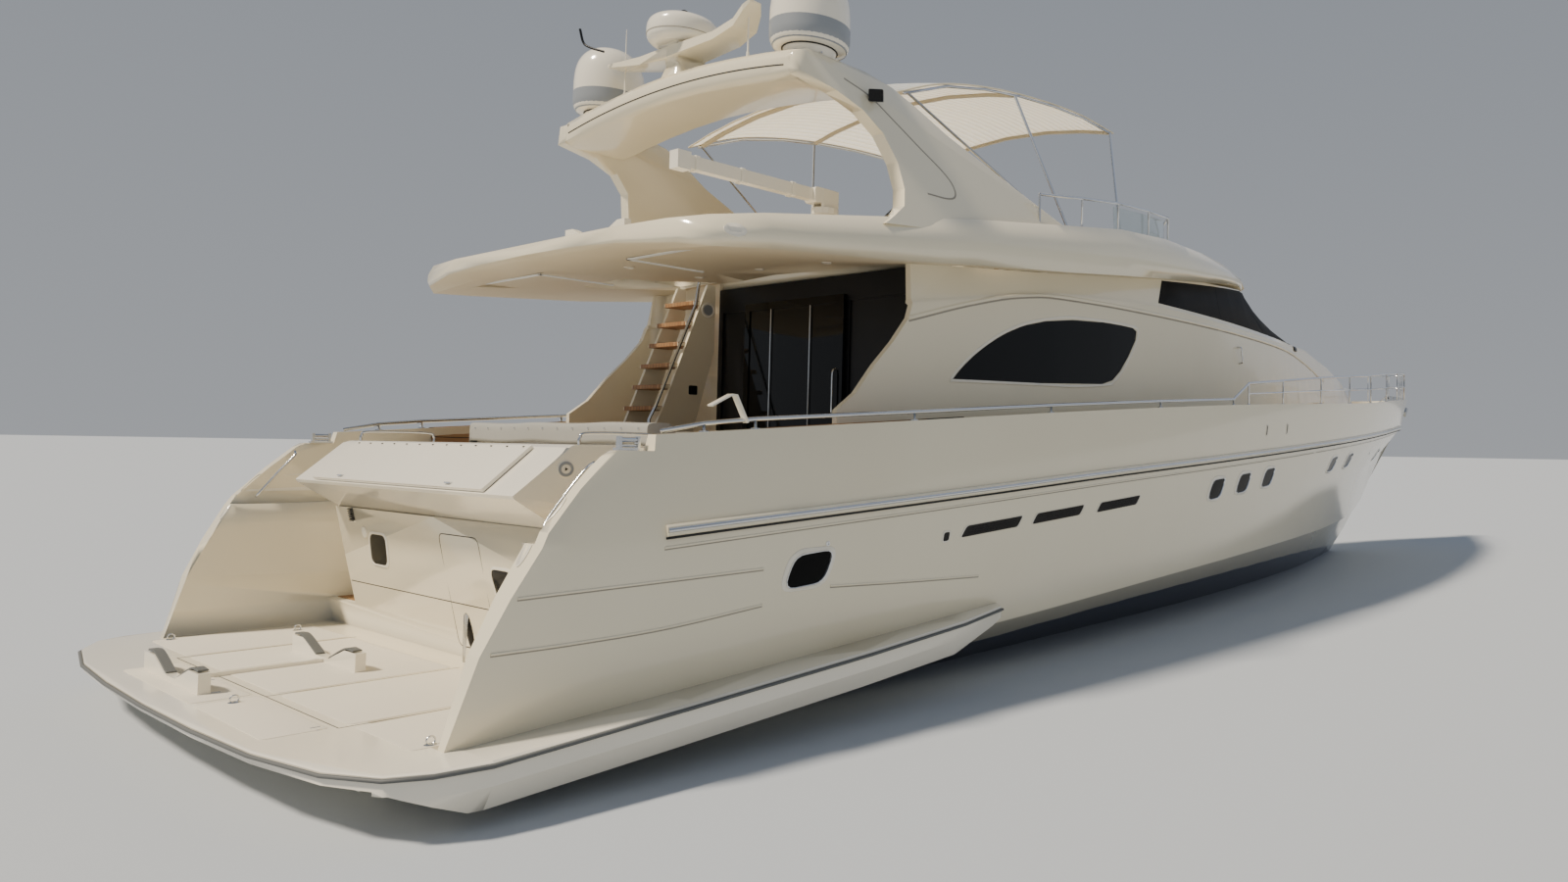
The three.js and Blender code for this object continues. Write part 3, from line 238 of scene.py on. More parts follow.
@dataclass(frozen=True)
class Teak(Finish):
    """Oiled teak planks that run fore and aft, with black caulking seams."""

    plank_mm: float = 55.0
    caulk: str = "#1b1815"

    def dress(self, recipe: Recipe) -> None:
        """Seams every plank_mm across the planks, and grain drawn out about ten times along them."""
        count = recipe.reckon("MULTIPLY", recipe.axis(1), 1000 / self.plank_mm)
        middle = recipe.reckon("PINGPONG", recipe.reckon("FRACT", count), 0.5)
        wood = recipe.ranged(middle, 0.04, 0.06)
        tone = recipe.node("TexWhiteNoise", {"noise_dimensions": "1D"},
                           {"W": recipe.reckon("FLOOR", count)}).outputs[0]
        drawn = recipe.pattern("Mapping", {"Scale": (1.2, 10.0, 10.0)})
        fibre = recipe.pattern("TexNoise", {"Scale": self.scale() / 10, "Detail": 6.0}, drawn)
        lit = recipe.ranged(recipe.reckon("MULTIPLY", tone, fibre), 0.0, 0.6)
        timber = recipe.mix(lit, self.colour, self.second)
        recipe.feed("Base Color", recipe.mix(wood, self.caulk, timber))
        self.bump(recipe, wood)


@dataclass(frozen=True)
class Woven(Finish):
    """Cloth whose threads cross at right angles; the weave is drawn coarser than life to show."""

    def dress(self, recipe: Recipe) -> None:
        """Height is the larger of two sine waves, one along each thread direction."""
        super().dress(recipe)
        waves = [recipe.pattern("TexWave", {"bands_direction": way, "Scale": self.scale() / 20,
                                            "Distortion": 0.4}, output=1) for way in "XY"]
        self.bump(recipe, recipe.reckon("MAXIMUM", *waves))


@dataclass(frozen=True)
class Battened(Woven):
    """The same cloth over battens, a little darker along each stitched batten pocket."""

    batten_mm: float = 107.5
    stitch: str = "#cfb88c"

    def dress(self, recipe: Recipe) -> None:
        """A pocket's line lies where Y is a whole number of batten spacings."""
        super().dress(recipe)
        count = recipe.reckon("MULTIPLY", recipe.axis(1), 1000 / self.batten_mm)
        line = recipe.ranged(recipe.reckon("PINGPONG", count, 0.5), 0.06, 0.16, 0.75, 0.0)
        recipe.feed("Base Color", recipe.mix(line, recipe.fed("Base Color"), self.stitch))


@dataclass(frozen=True)
class Grained(Finish):
    """Coated cloth or leather pressed with a pebble grain."""

    def dress(self, recipe: Recipe) -> None:
        """Height is the distance to the edge of cells as wide as one pebble of the grain."""
        super().dress(recipe)
        cells = recipe.pattern("TexVoronoi", {"feature": "DISTANCE_TO_EDGE", "Scale": self.scale()})
        self.bump(recipe, recipe.ranged(cells, 0.0, 0.25))


# Gelcoat is pigmented polyester sprayed in a polished mould: glossy, faintly rippled, chalky.
GELCOAT = Finish("moulded_gelcoat_cream", "#ece3c9", "#e2d7bb", 0.13, 900, 0.9, coat=0.45)
WHITE_GELCOAT = Finish("moulded_gelcoat_white", "#efe9d9", "#e5decb", 0.17, 700, 0.8, coat=0.4,
                       slot="white_gelcoat")
# Topsides and bottom of the hull: the same gelcoat, with navy paint rolled on below the band.
HULL_PAINT = HullPaint("hull_gelcoat_with_boot_band", "#ece3c9", "#e2d7bb", 0.12, 900, 0.9,
                       coat=0.45)
# Roof underside lining: gelcoat flatted with fine abrasive to a soft shine; darker as painted shade.
SOFFIT = Finish("matt_gelcoat_lining_painted_shade", "#ddd0b2", "#d1c3a2", 0.62, 60, 0.2)
# Painted shadow line under a moulded bead and in grooves, grey.
BEAD_SHADE = Finish("painted_shadow_line_grey", "#9c9688", "#8b8578", 0.7, 60, 0.1)
# Anti-slip gelcoat: grit of 1 mm stamped in the mould, drawn at 6 mm so that it shows.
NON_SLIP = Grained("stamped_non_slip_gelcoat", "#ddd6c6", "#cfc7b5", 0.72, 6, 0.5,
                   slot="white_gelcoat")
DOME_GREY = Finish("sprayed_grey_paint", "#8f9499", "#83888d", 0.38, 400, 0.3, slot="white_gelcoat")
STAINLESS = Finish("polished_stainless_steel", "#d6d8da", "#b9bcc0", 0.16, 260, 0.12, metallic=1.0,
                   slot="stainless")
BRONZE = Finish("cast_nickel_bronze", "#a5814a", "#7c6136", 0.34, 60, 0.5, metallic=1.0,
                slot="bronze")
ZINC = Finish("cast_zinc", "#a9adaf", "#8d9193", 0.5, 20, 0.5, metallic=1.0, slot="bronze")
ENGINE_PAINT = Finish("painted_cast_iron", "#9aa09f", "#7f8685", 0.5, 14, 0.5, slot="engine_block")
BLACK_FRAME = Finish("black_anodised_aluminium", "#16171a", "#222428", 0.35, 20, 0.05,
                     metallic=0.6, slot="black_frame")
# Near black: sealant in real joints, and painted shade inside slots, grilles, cups and mouths.
SHADOW = Finish("sealant_and_painted_shade_black", "#201d1a", "#332d27", 0.8, 40, 0.1, slot="black_frame")
RUBBER = Finish("extruded_black_rubber", "#151515", "#26251f", 0.62, 12, 0.25, slot="rubber")
GREY_RUBBER = Finish("extruded_grey_rubber", "#5b5d5c", "#6c6d6a", 0.6, 12, 0.25, slot="rubber")
DARK_GLASS = Finish("tinted_toughened_glass", "#06080a", "#0b0e11", 0.05, 1400, 0.3, ior=1.45,
                    specular=0.28, slot="dark_glass")
# Port glass sits deep in its frame: smoked glass, its near black partly painted shade, little shine.
PORT_GLASS = Finish("smoked_port_glass_painted_shade", "#040506", "#07090b", 0.09, 1400, 0.2, ior=1.45,
                    specular=0.1, slot="dark_glass")
ACRYLIC = Finish("cast_clear_acrylic", "#dfe7e6", "#d2dcdc", 0.03, 1200, 0.2, transmission=0.92,
                 ior=1.49, slot="clear_acrylic")
LENS = Finish("moulded_frosted_acrylic", "#eef0ee", "#dfe3e2", 0.35, 30, 0.1, ior=1.49,
              slot="clear_acrylic")
# Teak laid in planks and caulked: open grain, silky, browner where it is oiled.
TEAK_DECK = Teak("caulked_teak_deck", "#92683f", "#b08a5f", 0.55, 25, 0.8, slot="teak")
TEAK_TABLE = Teak("varnished_teak_top", "#8f5a2e", "#b47a45", 0.22, 25, 0.2, coat=0.5,
                  plank_mm=95, slot="teak")
# Acrylic canvas woven from dyed yarn; real threads are 0.5 mm apart and are drawn at 6 mm.
CANVAS = Woven("woven_acrylic_canvas", "#e9dcbd", "#ddcda8", 0.85, 6, 0.3, sheen=0.2, slot="canvas")
BATTENED = Battened("battened_acrylic_canvas", "#f4e8cd", "#eaddbd", 0.85, 6, 0.3, sheen=0.2,
                    glow=1.0, slot="canvas")
SUN_CANVAS = Woven("quilted_acrylic_canvas", "#d9cfb8", "#cbbf9f", 0.85, 7, 0.3, sheen=0.2,
                   slot="canvas")
# Shade mesh of coated polyester yarn at 1 mm, drawn at 8 mm: matt, faintly blue black.
SHADE_MESH = Woven("coated_shade_mesh", "#14161b", "#1d2026", 0.92, 8, 0.4, slot="canvas")
VALANCE = Woven("pleated_linen", "#b79e74", "#a58c62", 0.9, 7, 0.3, sheen=0.2, slot="canvas")
GREY_COVER = Woven("grey_vinyl_cover", "#9d9d98", "#8c8c87", 0.6, 8, 0.3, slot="grey_cover")
# Marine vinyl: knitted backing with a soft coat pressed in a pebble grain of 3 mm, drawn at 8 mm.
UPHOLSTERY = Grained("embossed_marine_vinyl", "#c8ab84", "#b99a72", 0.5, 8, 0.4, sheen=0.1,
                     slot="upholstery")
SALOON_LEATHER = Grained("saloon_leather", "#c9b08c", "#b3976f", 0.45, 8, 0.3, slot="upholstery")


class Side(Enum):
    """Which side of the centreline: starboard has Y below zero."""

    STARBOARD = -1
    PORT = 1


@dataclass
class Shape:
    """Points and faces of closed surfaces, with a finish number for each block of faces."""

    points: Array
    blocks: list[Array]
    tags: list[int]

    def __add__(self, other: "Shape") -> "Shape":
        """Both shapes as one, the other's faces counted on from this one's points."""
        count = len(self.points)
        return Shape(np.vstack((self.points, other.points)),
                     self.blocks + [block + count for block in other.blocks],
                     self.tags + other.tags)

    def tagged(self, number: int) -> "Shape":
        """The same shape with every face in the finish of that number."""
        return Shape(self.points, self.blocks, [number] * len(self.blocks))

    def moved(self, x: float = 0.0, y: float = 0.0, z: float = 0.0) -> "Shape":
        """The same shape, shifted."""
        return Shape(self.points + (x, y, z), self.blocks, self.tags)

    def mirrored(self) -> "Shape":
        """The same shape on the other side of the centreline, its faces still outwards."""
        return Shape(self.points * (1, -1, 1), [b[:, ::-1] for b in self.blocks], self.tags)

    def turned(self, degrees: float, axis: str = "Z") -> "Shape":
        """The same shape, turned round an axis through the origin."""
        turn = np.array(Matrix.Rotation(math.radians(degrees), 3, axis))
        return Shape(self.points @ turn.T, self.blocks, self.tags)


def join(shapes: Iterable[Shape]) -> Shape:
    """Many shapes as one."""
    return sum(shapes, start=Shape(np.zeros((0, 3)), [], []))


def both_sides(shape: Shape) -> Shape:
    """A shape and its mirror image."""
    return shape + shape.mirrored()


def grid(points: Array, rows_close: bool = False, columns_close: bool = True,
         ends: bool = False) -> Shape:
    """Four-cornered faces over a grid of points.

    Args:
        points: Rows by columns by three.
        rows_close: Join the last row to the first.
        columns_close: Join the last column to the first, which makes every row a ring.
        ends: Close the first and last ring with one face each.

    Returns:
        The surface.
    """
    rings = index = np.arange(points.shape[0] * points.shape[1]).reshape(points.shape[:2])
    if rows_close:
        index = np.vstack((index, index[:1]))
    if columns_close:
        index = np.hstack((index, index[:, :1]))
    quads = np.stack((index[:-1, :-1], index[1:, :-1], index[1:, 1:], index[:-1, 1:]), axis=-1)
    blocks = [quads.reshape(-1, 4)] + ([rings[:1], rings[-1:, ::-1]] if ends else [])
    return Shape(points.reshape(-1, 3), blocks, [0] * len(blocks))


def smooth(points: Points, count: int) -> Array:
    """Run a Catmull-Rom curve through points: each stretch is the cubic whose slope at a point is
    half the step between its neighbours.

    Args:
        points: Places that the curve passes through.
        count: How many places to give back, evenly spread over the stretches.

    Returns:
        Count rows of the points' own width.
    """
    known = np.array(points, float)
    padded = np.vstack((2 * known[0] - known[1], known, 2 * known[-1] - known[-2]))
    along = np.linspace(0, len(known) - 1, count)
    start = np.minimum(along.astype(int), len(known) - 2)
    t = (along - start)[:, None]
    a, b, c, d = (padded[start + k] for k in range(4))
    return 0.5 * (2 * b + (c - a) * t + (2 * a - 5 * b + 4 * c - d) * t ** 2
                  + (3 * b - a - 3 * c + d) * t ** 3)


def rounded(corners: Points, radius: float, steps: int = 5) -> Array:
    """Polygon whose corners are quadratic curves that start and end radius away from the corner.

    Args:
        corners: Corners in order, two numbers each.
        radius: Distance cut from each side, at most half the side.
        steps: Points on each curve.

    Returns:
        Points of the outline, in the corners' order.
    """
    tips = np.array(corners, float)

    def toward(others: Array) -> Array:
        """Point on each side, radius from its corner."""
        gap = others - tips
        span = np.linalg.norm(gap, axis=1, keepdims=True)
        return tips + gap / span * np.minimum(radius, span / 2.001)

    before, after = toward(np.roll(tips, 1, 0)), toward(np.roll(tips, -1, 0))
    t = np.linspace(0, 1, steps)[None, :, None]
    curve = ((1 - t) ** 2 * before[:, None] + 2 * t * (1 - t) * tips[:, None]
             + t ** 2 * after[:, None])
    return curve.reshape(-1, 2)


def oblong(x0: float, x1: float, y0: float, y1: float, radius: float, steps: int = 5) -> Array:
    """Rounded outline between two X and two Y."""
    return rounded([(x0, y0), (x1, y0), (x1, y1), (x0, y1)], radius, steps)


def unit(vectors: Array) -> Array:
    """Vectors of length one."""
    return vectors / np.linalg.norm(vectors, axis=-1, keepdims=True)


def slope(path: Array, closed: bool) -> Array:
    """Direction of a path at each place: from the place before to the place after."""
    return unit(np.roll(path, -1, 0) - np.roll(path, 1, 0) if closed else np.gradient(path, axis=0))


def carried(path: Array, section: Array, closed: bool = False,
            up: Optional[Numbers] = None) -> Shape:
    """Carry a section along a path, square to it.

    At each place the section's first number runs sideways and its second upwards. Upwards is the
    given direction, or else the normal of the plane that fits the path best.

    Args:
        path: Places along the path.
        section: Closed outline, two numbers a point.
        closed: Join the path's end to its start; else both ends get a face.
        up: Direction that the section's second number follows.

    Returns:
        The solid.
    """
    ahead = slope(path, closed)
    if up is None:
        up = np.linalg.svd(ahead)[2][-1]
        up = up if abs(up @ ahead[0]) < 0.95 else np.roll(up, 1)
    side = unit(np.cross(ahead, up))
    top = np.cross(side, ahead)
    rings = (path[:, None] + section[None, :, :1] * side[:, None]
             + section[None, :, 1:] * top[:, None])
    return grid(rings, rows_close=closed, ends=not closed)


def angles(sides: int) -> Array:
    """Even steps round a circle, in radians."""
    return np.linspace(0, math.tau, sides, endpoint=False)


def circle(radius: float, sides: int = 10) -> Array:
    """Points of a circle round the origin."""
    return radius * np.stack((np.cos(angles(sides)), np.sin(angles(sides))), axis=-1)


def tube(points: Points, radius: float, sides: int = 10, count: int = 0,
         closed: bool = False) -> Shape:
    """Round bar along points, smoothed into a curve when a count of places is given."""
    path = smooth(points, count) if count else np.array(points, float)
    return carried(path, circle(radius, sides), closed)


def turned_shape(profile: Points, centre: Numbers = (0, 0, 0), sides: int = 24, axis: str = "Z",
                 hoop: bool = False) -> Shape:
    """Turn a profile of radius and height round an axis.

    Args:
        profile: Radius and height pairs, from one end to the other.
        centre: Where the axis and height zero are.
        sides: Steps round the axis.
        axis: "X", "Y" or "Z".
        hoop: Join the profile's end to its start; else each open end gets a face.

    Returns:
        The solid.
    """
    shape, angle = np.array(profile, float), angles(sides)
    rings = np.stack((shape[:, :1] * np.cos(angle), shape[:, :1] * np.sin(angle),
                      np.broadcast_to(shape[:, 1:], (len(shape), sides))), axis=-1)
    rings = np.roll(rings, {"Z": 0, "X": 1, "Y": 2}[axis], axis=-1)
    return grid(rings + np.array(centre), rows_close=hoop, ends=not hoop)


def prism(outline: Array, low: float, high: float, plane: str = "XY") -> Shape:
    """Solid between two copies of an outline, low and high on the axis square to its plane."""
    a, b, c = PLANES[plane]
    rings = np.empty((2, len(outline), 3))
    rings[:, :, a], rings[:, :, b] = outline[:, 0], outline[:, 1]
    rings[:, :, c] = np.array([[low], [high]])
    return grid(rings, ends=True)


def slab(low: Numbers, high: Numbers, radius: float, plane: str = "XY") -> Shape:
    """Flat block between two corners, with its outline's corners rounded in a plane."""
    a, b, c = PLANES[plane]
    return prism(oblong(low[a], high[a], low[b], high[b], radius), low[c], high[c], plane)


def clean(mesh: bpy.types.Mesh, sharp: float, turn_out: bool = True) -> None:
    """Merge points that lie together and shade smooth up to an angle in degrees."""
    solid = bmesh.new()
    solid.from_mesh(mesh)
    bmesh.ops.remove_doubles(solid, verts=solid.verts, dist=MERGE)
    if turn_out:
        bmesh.ops.recalc_face_normals(solid, faces=solid.faces)
    solid.to_mesh(mesh)
    solid.free()
    mesh.shade_smooth()
    mesh.set_sharp_from_angle(angle=math.radians(sharp))


def put(name: str, mesh: object) -> Object:
    """Put a mesh, a lamp or a camera into the scene."""
    made = bpy.data.objects.new(name, mesh)
    bpy.context.scene.collection.objects.link(made)
    return made


def thicken(made: Object, thick: float) -> None:
    """Give cloth of one layer its thickness, half to each face."""
    wall = made.modifiers.new("cloth", "SOLIDIFY")
    wall.thickness, wall.offset = thick, 0.0


def make_piece(name: str, shape: Shape, finishes: Sequence[Finish], body: str = BODY,
               replaces: Sequence[str] = (), sharp: float = 38.0, bevel: float = 0.0) -> Object:
    """Put a shape into Blender as a piece that rides on a body.

    Args:
        name: Name of the piece.
        shape: Its surfaces, with X counted from the platform's aft edge.
        finishes: Finishes that the shape's tags count through.
        body: CAD body that it moves with.
        replaces: CAD nodes that it stands for.
        sharp: Angle in degrees past which an edge stays sharp.
        bevel: Width in metres of the small round on such edges.

    Returns:
        The object.
    """
    mesh = bpy.data.meshes.new(name)
    mesh.from_pydata((shape.points - (MIDSHIP, 0, 0)).tolist(), [],
                     [face for block in shape.blocks for face in block.tolist()])
    tags = np.repeat(shape.tags, [len(block) for block in shape.blocks])
    mesh.polygons.foreach_set("material_index", tags.astype(np.int32))
    clean(mesh, sharp)
    made = put(name, mesh)
    if bevel:
        round_off = made.modifiers.new("edges", "BEVEL")
        round_off.width, round_off.segments = bevel, 2
        round_off.limit_method, round_off.angle_limit = "ANGLE", math.radians(sharp)
    return settle(made, finishes, body, replaces)


def settle(made: Object, finishes: Sequence[Finish], body: str = BODY,
           replaces: Sequence[str] = ()) -> Object:
    """Give a mesh its finishes and body, hide the nodes that it stands for, and log it."""
    for finish in finishes:
        made.data.materials.append(finish.material())
    if replaces:
        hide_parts(*replaces)
    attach(made, body)
    LOG.info("%s: %d faces on %s", made.name, len(made.data.polygons), body)
    return made


class Skin:
    """Outside of CAD nodes or finished pieces, on which trim is laid by casting parallel lines."""

    EDGE = 1e-6
    LINES_AT_ONCE = 150

    def __init__(self, *carriers: str | Object) -> None:
        """Collect the triangles of the carriers, each a node's name or a piece."""
        found = []
        for carrier in carriers:
            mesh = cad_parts[carrier].data if isinstance(carrier, str) else carrier.data
            mesh.calc_loop_triangles()
            index = np.empty(len(mesh.loop_triangles) * 3, np.int32)
            mesh.loop_triangles.foreach_get("vertices", index)
            found.append(places_of(mesh)[index].reshape(-1, 3, 3) + (MIDSHIP, 0, 0))
        self.corners = np.vstack(found)

    def meet(self, starts: Array, way: Numbers) -> tuple[Array, Array]:
        """Find where lines meet the skin first.

        Each line is solved against each triangle for its distance and its two shares of the edges;
        the least distance whose shares lie inside the triangle is kept. A line that meets nothing
        takes the middle distance of the others.

        Args:
            starts: Where the lines start, one row each.
            way: The direction of them all.

        Returns:
            The places met, and the skin's unit normals there, turned against the lines.
        """
        ahead = unit(np.array(way, float))
        first = self.corners[:, 0]
        edge_a, edge_b = self.corners[:, 1] - first, self.corners[:, 2] - first
        normals = np.cross(edge_a, edge_b)
        facing = np.linalg.norm(normals, axis=1) > 0
        facing &= np.abs(normals @ ahead) > self.EDGE * np.linalg.norm(normals, axis=1)
        first, edge_a, edge_b, normals = (v[facing] for v in (first, edge_a, edge_b, normals))
        across = np.cross(ahead, edge_b)
        share = np.einsum("ij,ij->i", edge_a, across)
        reach, hit = [], []
        for part in np.array_split(starts, len(starts) // self.LINES_AT_ONCE + 1):
            gap = part[:, None] - first
            u = np.einsum("qtj,tj->qt", gap, across) / share
            turn = np.cross(gap, edge_a)
            v = turn @ ahead / share
            far = np.einsum("qtj,tj->qt", turn, edge_b) / share
            inside = (u > -self.EDGE) & (v > -self.EDGE) & (u + v < 1 + self.EDGE) & (far > 0)
            far = np.where(inside, far, np.inf)
            hit.append(far.argmin(axis=1))
            reach.append(far.min(axis=1))
        distance, which = np.concatenate(reach), np.concatenate(hit)
        lost = ~np.isfinite(distance)
        if lost.any():
            LOG.warning("%d of %d lines meet nothing", lost.sum(), len(lost))
            distance[lost] = np.median(distance[~lost]) if (~lost).any() else 0.0
        normal = unit(normals[which])
        normal *= -np.sign(normal @ ahead)[:, None]
        return starts + distance[:, None] * ahead, normal

    def side_on(self, side: Side, out: float = FAR_OUT, way: int = -1) -> Cast:
        """Cast for pairs of X and Z, from Y of out on one side, inwards or outwards."""
        return lambda pairs: self.meet(np.insert(pairs, 1, side.value * out, axis=1),
                                       (0, way * side.value, 0))

    def level(self, height: float = FAR_OUT, way: int = -1) -> Cast:
        """Cast for pairs of X and Y, from a height, down or up."""
        return lambda pairs: self.meet(np.insert(pairs, 2, height, axis=1), (0, 0, way))

    def end_on(self, x: float) -> Cast:
        """Cast for pairs of Y and Z, forwards from an X."""
        return lambda pairs: self.meet(np.insert(pairs, 0, x, axis=1), (1, 0, 0))


def raised(cast: Cast, outline: Array, rings: Sequence[tuple[float, float]],
           hollow: bool = False) -> Shape:
    """Raise a plate or a frame from a skin.

    Ring k is the outline shrunk or grown about its middle by its first number in metres, laid on
    the skin and lifted along its normal by its second number.

    Args:
        cast: Cast of a skin, which lays pairs of numbers on it.
        outline: Points of the outline, two numbers each, in the cast's own pair.
        rings: Growth and lift of each ring, from the foot inwards.
        hollow: Join the last ring to the first, which makes a frame; else close both ends.

    Returns:
        The solid.
    """
    middle = outline.mean(axis=0)
    reach = np.linalg.norm(outline - middle, axis=1, keepdims=True)
    laid = np.stack([outline + (outline - middle) / reach * max(grow, -reach.min() * 0.999)
                     for grow, _ in rings])
    places, normals = cast(laid.reshape(-1, 2))
    lift = np.repeat([lifted for _, lifted in rings], len(outline))[:, None]
    points = (places + normals * lift).reshape(len(rings), len(outline), 3)
    return grid(points, rows_close=hollow, ends=not hollow)


def framed(cast: Cast, outline: Array, frame_rings: Sequence[tuple[float, float]],
           pane_rings: Sequence[tuple[float, float]], tag: int = 1) -> Shape:
    """A hollow frame on a skin and the pane inside it, the pane in the finish of its tag."""
    return (raised(cast, outline, frame_rings, hollow=True)
            + raised(cast, outline, pane_rings).tagged(tag))


def seam(cast: Cast, path: Array, width: float, height: float, closed: bool = False) -> Shape:
    """Lay a low bead along a path on a skin: half an ellipse wide and high as given.

    Args:
        cast: Cast of a skin, which lays pairs of numbers on it.
        path: Pairs along the bead.
        width: Width on the skin.
        height: How proud it stands.
        closed: Join its end to its start.

    Returns:
        The solid.
    """
    places, normals = cast(path)
    side = unit(np.cross(slope(places, closed), normals))
    angle = np.linspace(-0.35, math.pi + 0.35, 7)
    rings = (places[:, None] + side[:, None] * (width / 2 * np.cos(angle))[None, :, None]
             + normals[:, None] * (height * np.sin(angle))[None, :, None])
    return grid(rings, rows_close=closed, ends=not closed)


def slanted(width: float, height: float, lean: float, radius: float,
            middle: Numbers = (0.0, 0.0), turn: float = 0.0) -> Array:
    """Rounded four-sided outline whose top is shifted by lean, turned and set about a middle.

    Args:
        width: Along the first number.
        height: Along the second number.
        lean: How far the top edge lies ahead of the bottom edge.
        radius: Round of the corners.
        middle: Where its middle is.
        turn: Degrees that it is turned by.

    Returns:
        Points of the outline.
    """
    a, b, c = width / 2, height / 2, lean / 2
    outline = rounded([(-a - c, -b), (a - c, -b), (a + c, b), (-a + c, b)], radius)
    cosine, sine = math.cos(math.radians(turn)), math.sin(math.radians(turn))
    return outline @ np.array([[cosine, sine], [-sine, cosine]]) + middle


@dataclass
class Topsides:
    """Trim of the hull's sides: portholes, air slots, drains, moulded lines and the rub rail."""

    port_rows: Rows = (
        (3.10, 1.25, 0.37, 0.25, 0.09), (9.38, 1.72, 0.36, 0.25, 0.10),
        (10.17, 1.78, 0.36, 0.25, 0.10), (11.01, 1.84, 0.36, 0.25, 0.10),
        (14.10, 2.01, 0.36, 0.24, 0.10), (15.25, 2.07, 0.36, 0.24, 0.10),
        (18.9, 2.18, 0.36, 0.22, 0.10))
    slot_rows: Rows = ((5.11, 1.47), (6.08, 1.54), (7.13, 1.61))
    slot_size: tuple[float, float] = (0.76, 0.095)
    drain_rows: Rows = ((10.75, 2.48), (11.47, 2.52))
    inlet_place: tuple[float, float] = (4.52, 1.41)
    sheer: float = 3.6
    slot_sheer: float = 4.4
    port_frame: Rows = ((0.042, -0.004), (0.036, 0.006), (0.010, 0.013), (0.0, 0.009),
                        (0.0, -0.004))
    port_ring: Rows = ((0.004, 0.004), (0.001, 0.016), (-0.008, 0.014), (-0.012, 0.002))
    port_pane: Rows = ((0.002, -0.004), (0.002, 0.002), (-0.03, 0.003), (-0.11, 0.0035))
    slot_frame: Rows = ((0.018, -0.003), (0.013, 0.006), (0.003, 0.008), (0.0, 0.005),
                        (0.0, -0.003))
    slot_shade_back: Rows = ((0.001, -0.003), (0.001, 0.002), (-0.006, 0.0022))
    rub_rows: Rows = (
        (1.92, 1.590), (3.0, 1.666), (5.0, 1.804), (7.0, 1.946), (9.0, 2.070), (11.0, 2.193),
        (13.0, 2.315), (15.0, 2.435), (17.0, 2.555), (19.0, 2.675), (21.0, 2.785), (22.5, 2.860),
        (23.5, 2.911), (24.2, 2.945))
    stem: tuple[float, float, float] = (24.475, 0.0, 2.962)
    skin: Skin = field(default_factory=lambda: Skin("hull"))

    def openings(self, side: Side) -> Shape:
        """Portholes: a bevelled frame and a steel ring round dark glass, whose near black is partly
        painted shade; slots, drains and an inlet: a thin frame round a black back, painted shade
        of the slot's depth."""
        cast = self.skin.side_on(side)
        made = []
        for x, z, width, height, lean in self.port_rows:
            outline = slanted(width, height, lean, 0.10, (x, z), self.sheer)
            made += [raised(cast, outline, self.port_frame, hollow=True),
                     raised(cast, outline, self.port_ring, hollow=True).tagged(3),
                     raised(cast, outline, self.port_pane).tagged(1)]
        small = [slanted(*self.slot_size, 0.07, 0.03, place, self.slot_sheer)
                 for place in self.slot_rows]
        small += [slanted(0.035, 0.13, 0.02, 0.016, place) for place in self.drain_rows]
        small += [slanted(0.07, 0.075, 0.01, 0.02, self.inlet_place, self.sheer)]
        return join(made + [framed(cast, outline, self.slot_frame, self.slot_shade_back, tag=2)
                            for outline in small])

    def louvres(self, side: Side) -> Shape:
        """Three thin blades in each air slot, that run its length."""
        cast = self.skin.side_on(side)
        rise = math.tan(math.radians(self.slot_sheer))
        x = np.linspace(-0.31, 0.31, 12)
        lines = [np.stack((middle[0] + x + 0.5 * drop, middle[1] + x * rise + drop), -1)
                 for middle in self.slot_rows for drop in (-0.022, 0.0, 0.022)]
        return join(seam(cast, line, 0.006, 0.0045) for line in lines)

    def seams(self, side: Side) -> Shape:
        """Moulded beads, each over a grey line of painted shadow: one below the rub rail and three
        aft.
        """
        cast = self.skin.side_on(side)
        rub = smooth(self.rub_rows, 90) - (0, 0.105)
        lines = [rub[rub[:, 0] < 24.0], smooth(((1.02, 1.245), (1.9, 1.265), (2.7, 1.285)), 24),
                 smooth(((0.90, 0.93), (1.4, 0.93), (2.0, 0.95), (2.72, 1.02)), 24),
                 smooth(((3.32, 1.10), (4.2, 1.06), (5.0, 1.03)), 24)]
        return join(seam(cast, line, 0.018, 0.007)
                    + seam(cast, line - (0, 0.013), 0.011, 0.0025).tagged(1) for line in lines)

    def rub_rail(self) -> Shape:
        """Moulded band with a half-round steel cap and a rubber line under it, round both sides."""
        laid, _ = self.skin.side_on(Side.STARBOARD)(smooth(self.rub_rows, 110))
        path = np.vstack((laid, self.stem, (laid * (1, -1, 1))[::-1]))
        steps = np.linspace(-math.pi / 2, math.pi / 2, 7)
        cap = np.stack((0.024 + 0.017 * np.cos(steps), 0.010 + 0.017 * np.sin(steps)), -1)
        band = [(-0.02, -0.034), (0.016, -0.030), (0.026, -0.020), (0.026, 0.034),
                (0.018, 0.044), (-0.02, 0.048)]
        rubber = [(-0.02, -0.052), (0.012, -0.050), (0.014, -0.036), (-0.02, -0.035)]
        sections = (band, np.vstack((cap, [(0.02, 0.0)])), rubber)
        return join(carried(path, np.array(section), up=(0, 0, 1)).tagged(tag)
                    for tag, section in enumerate(sections))

    def eyes(self, side: Side) -> Shape:
        """Small through-hull fittings: a towing eye aft and a skin fitting forward."""
        return join(raised(self.skin.side_on(side), circle(radius, 14) + (x, z),
                           ((0.006, -0.002), (0.005, 0.004), (-radius * 0.4, 0.006),
                            (-radius * 0.45, 0.001)))
                    for x, z, radius in ((3.25, 1.43, 0.014), (17.4, 2.2, 0.02)))

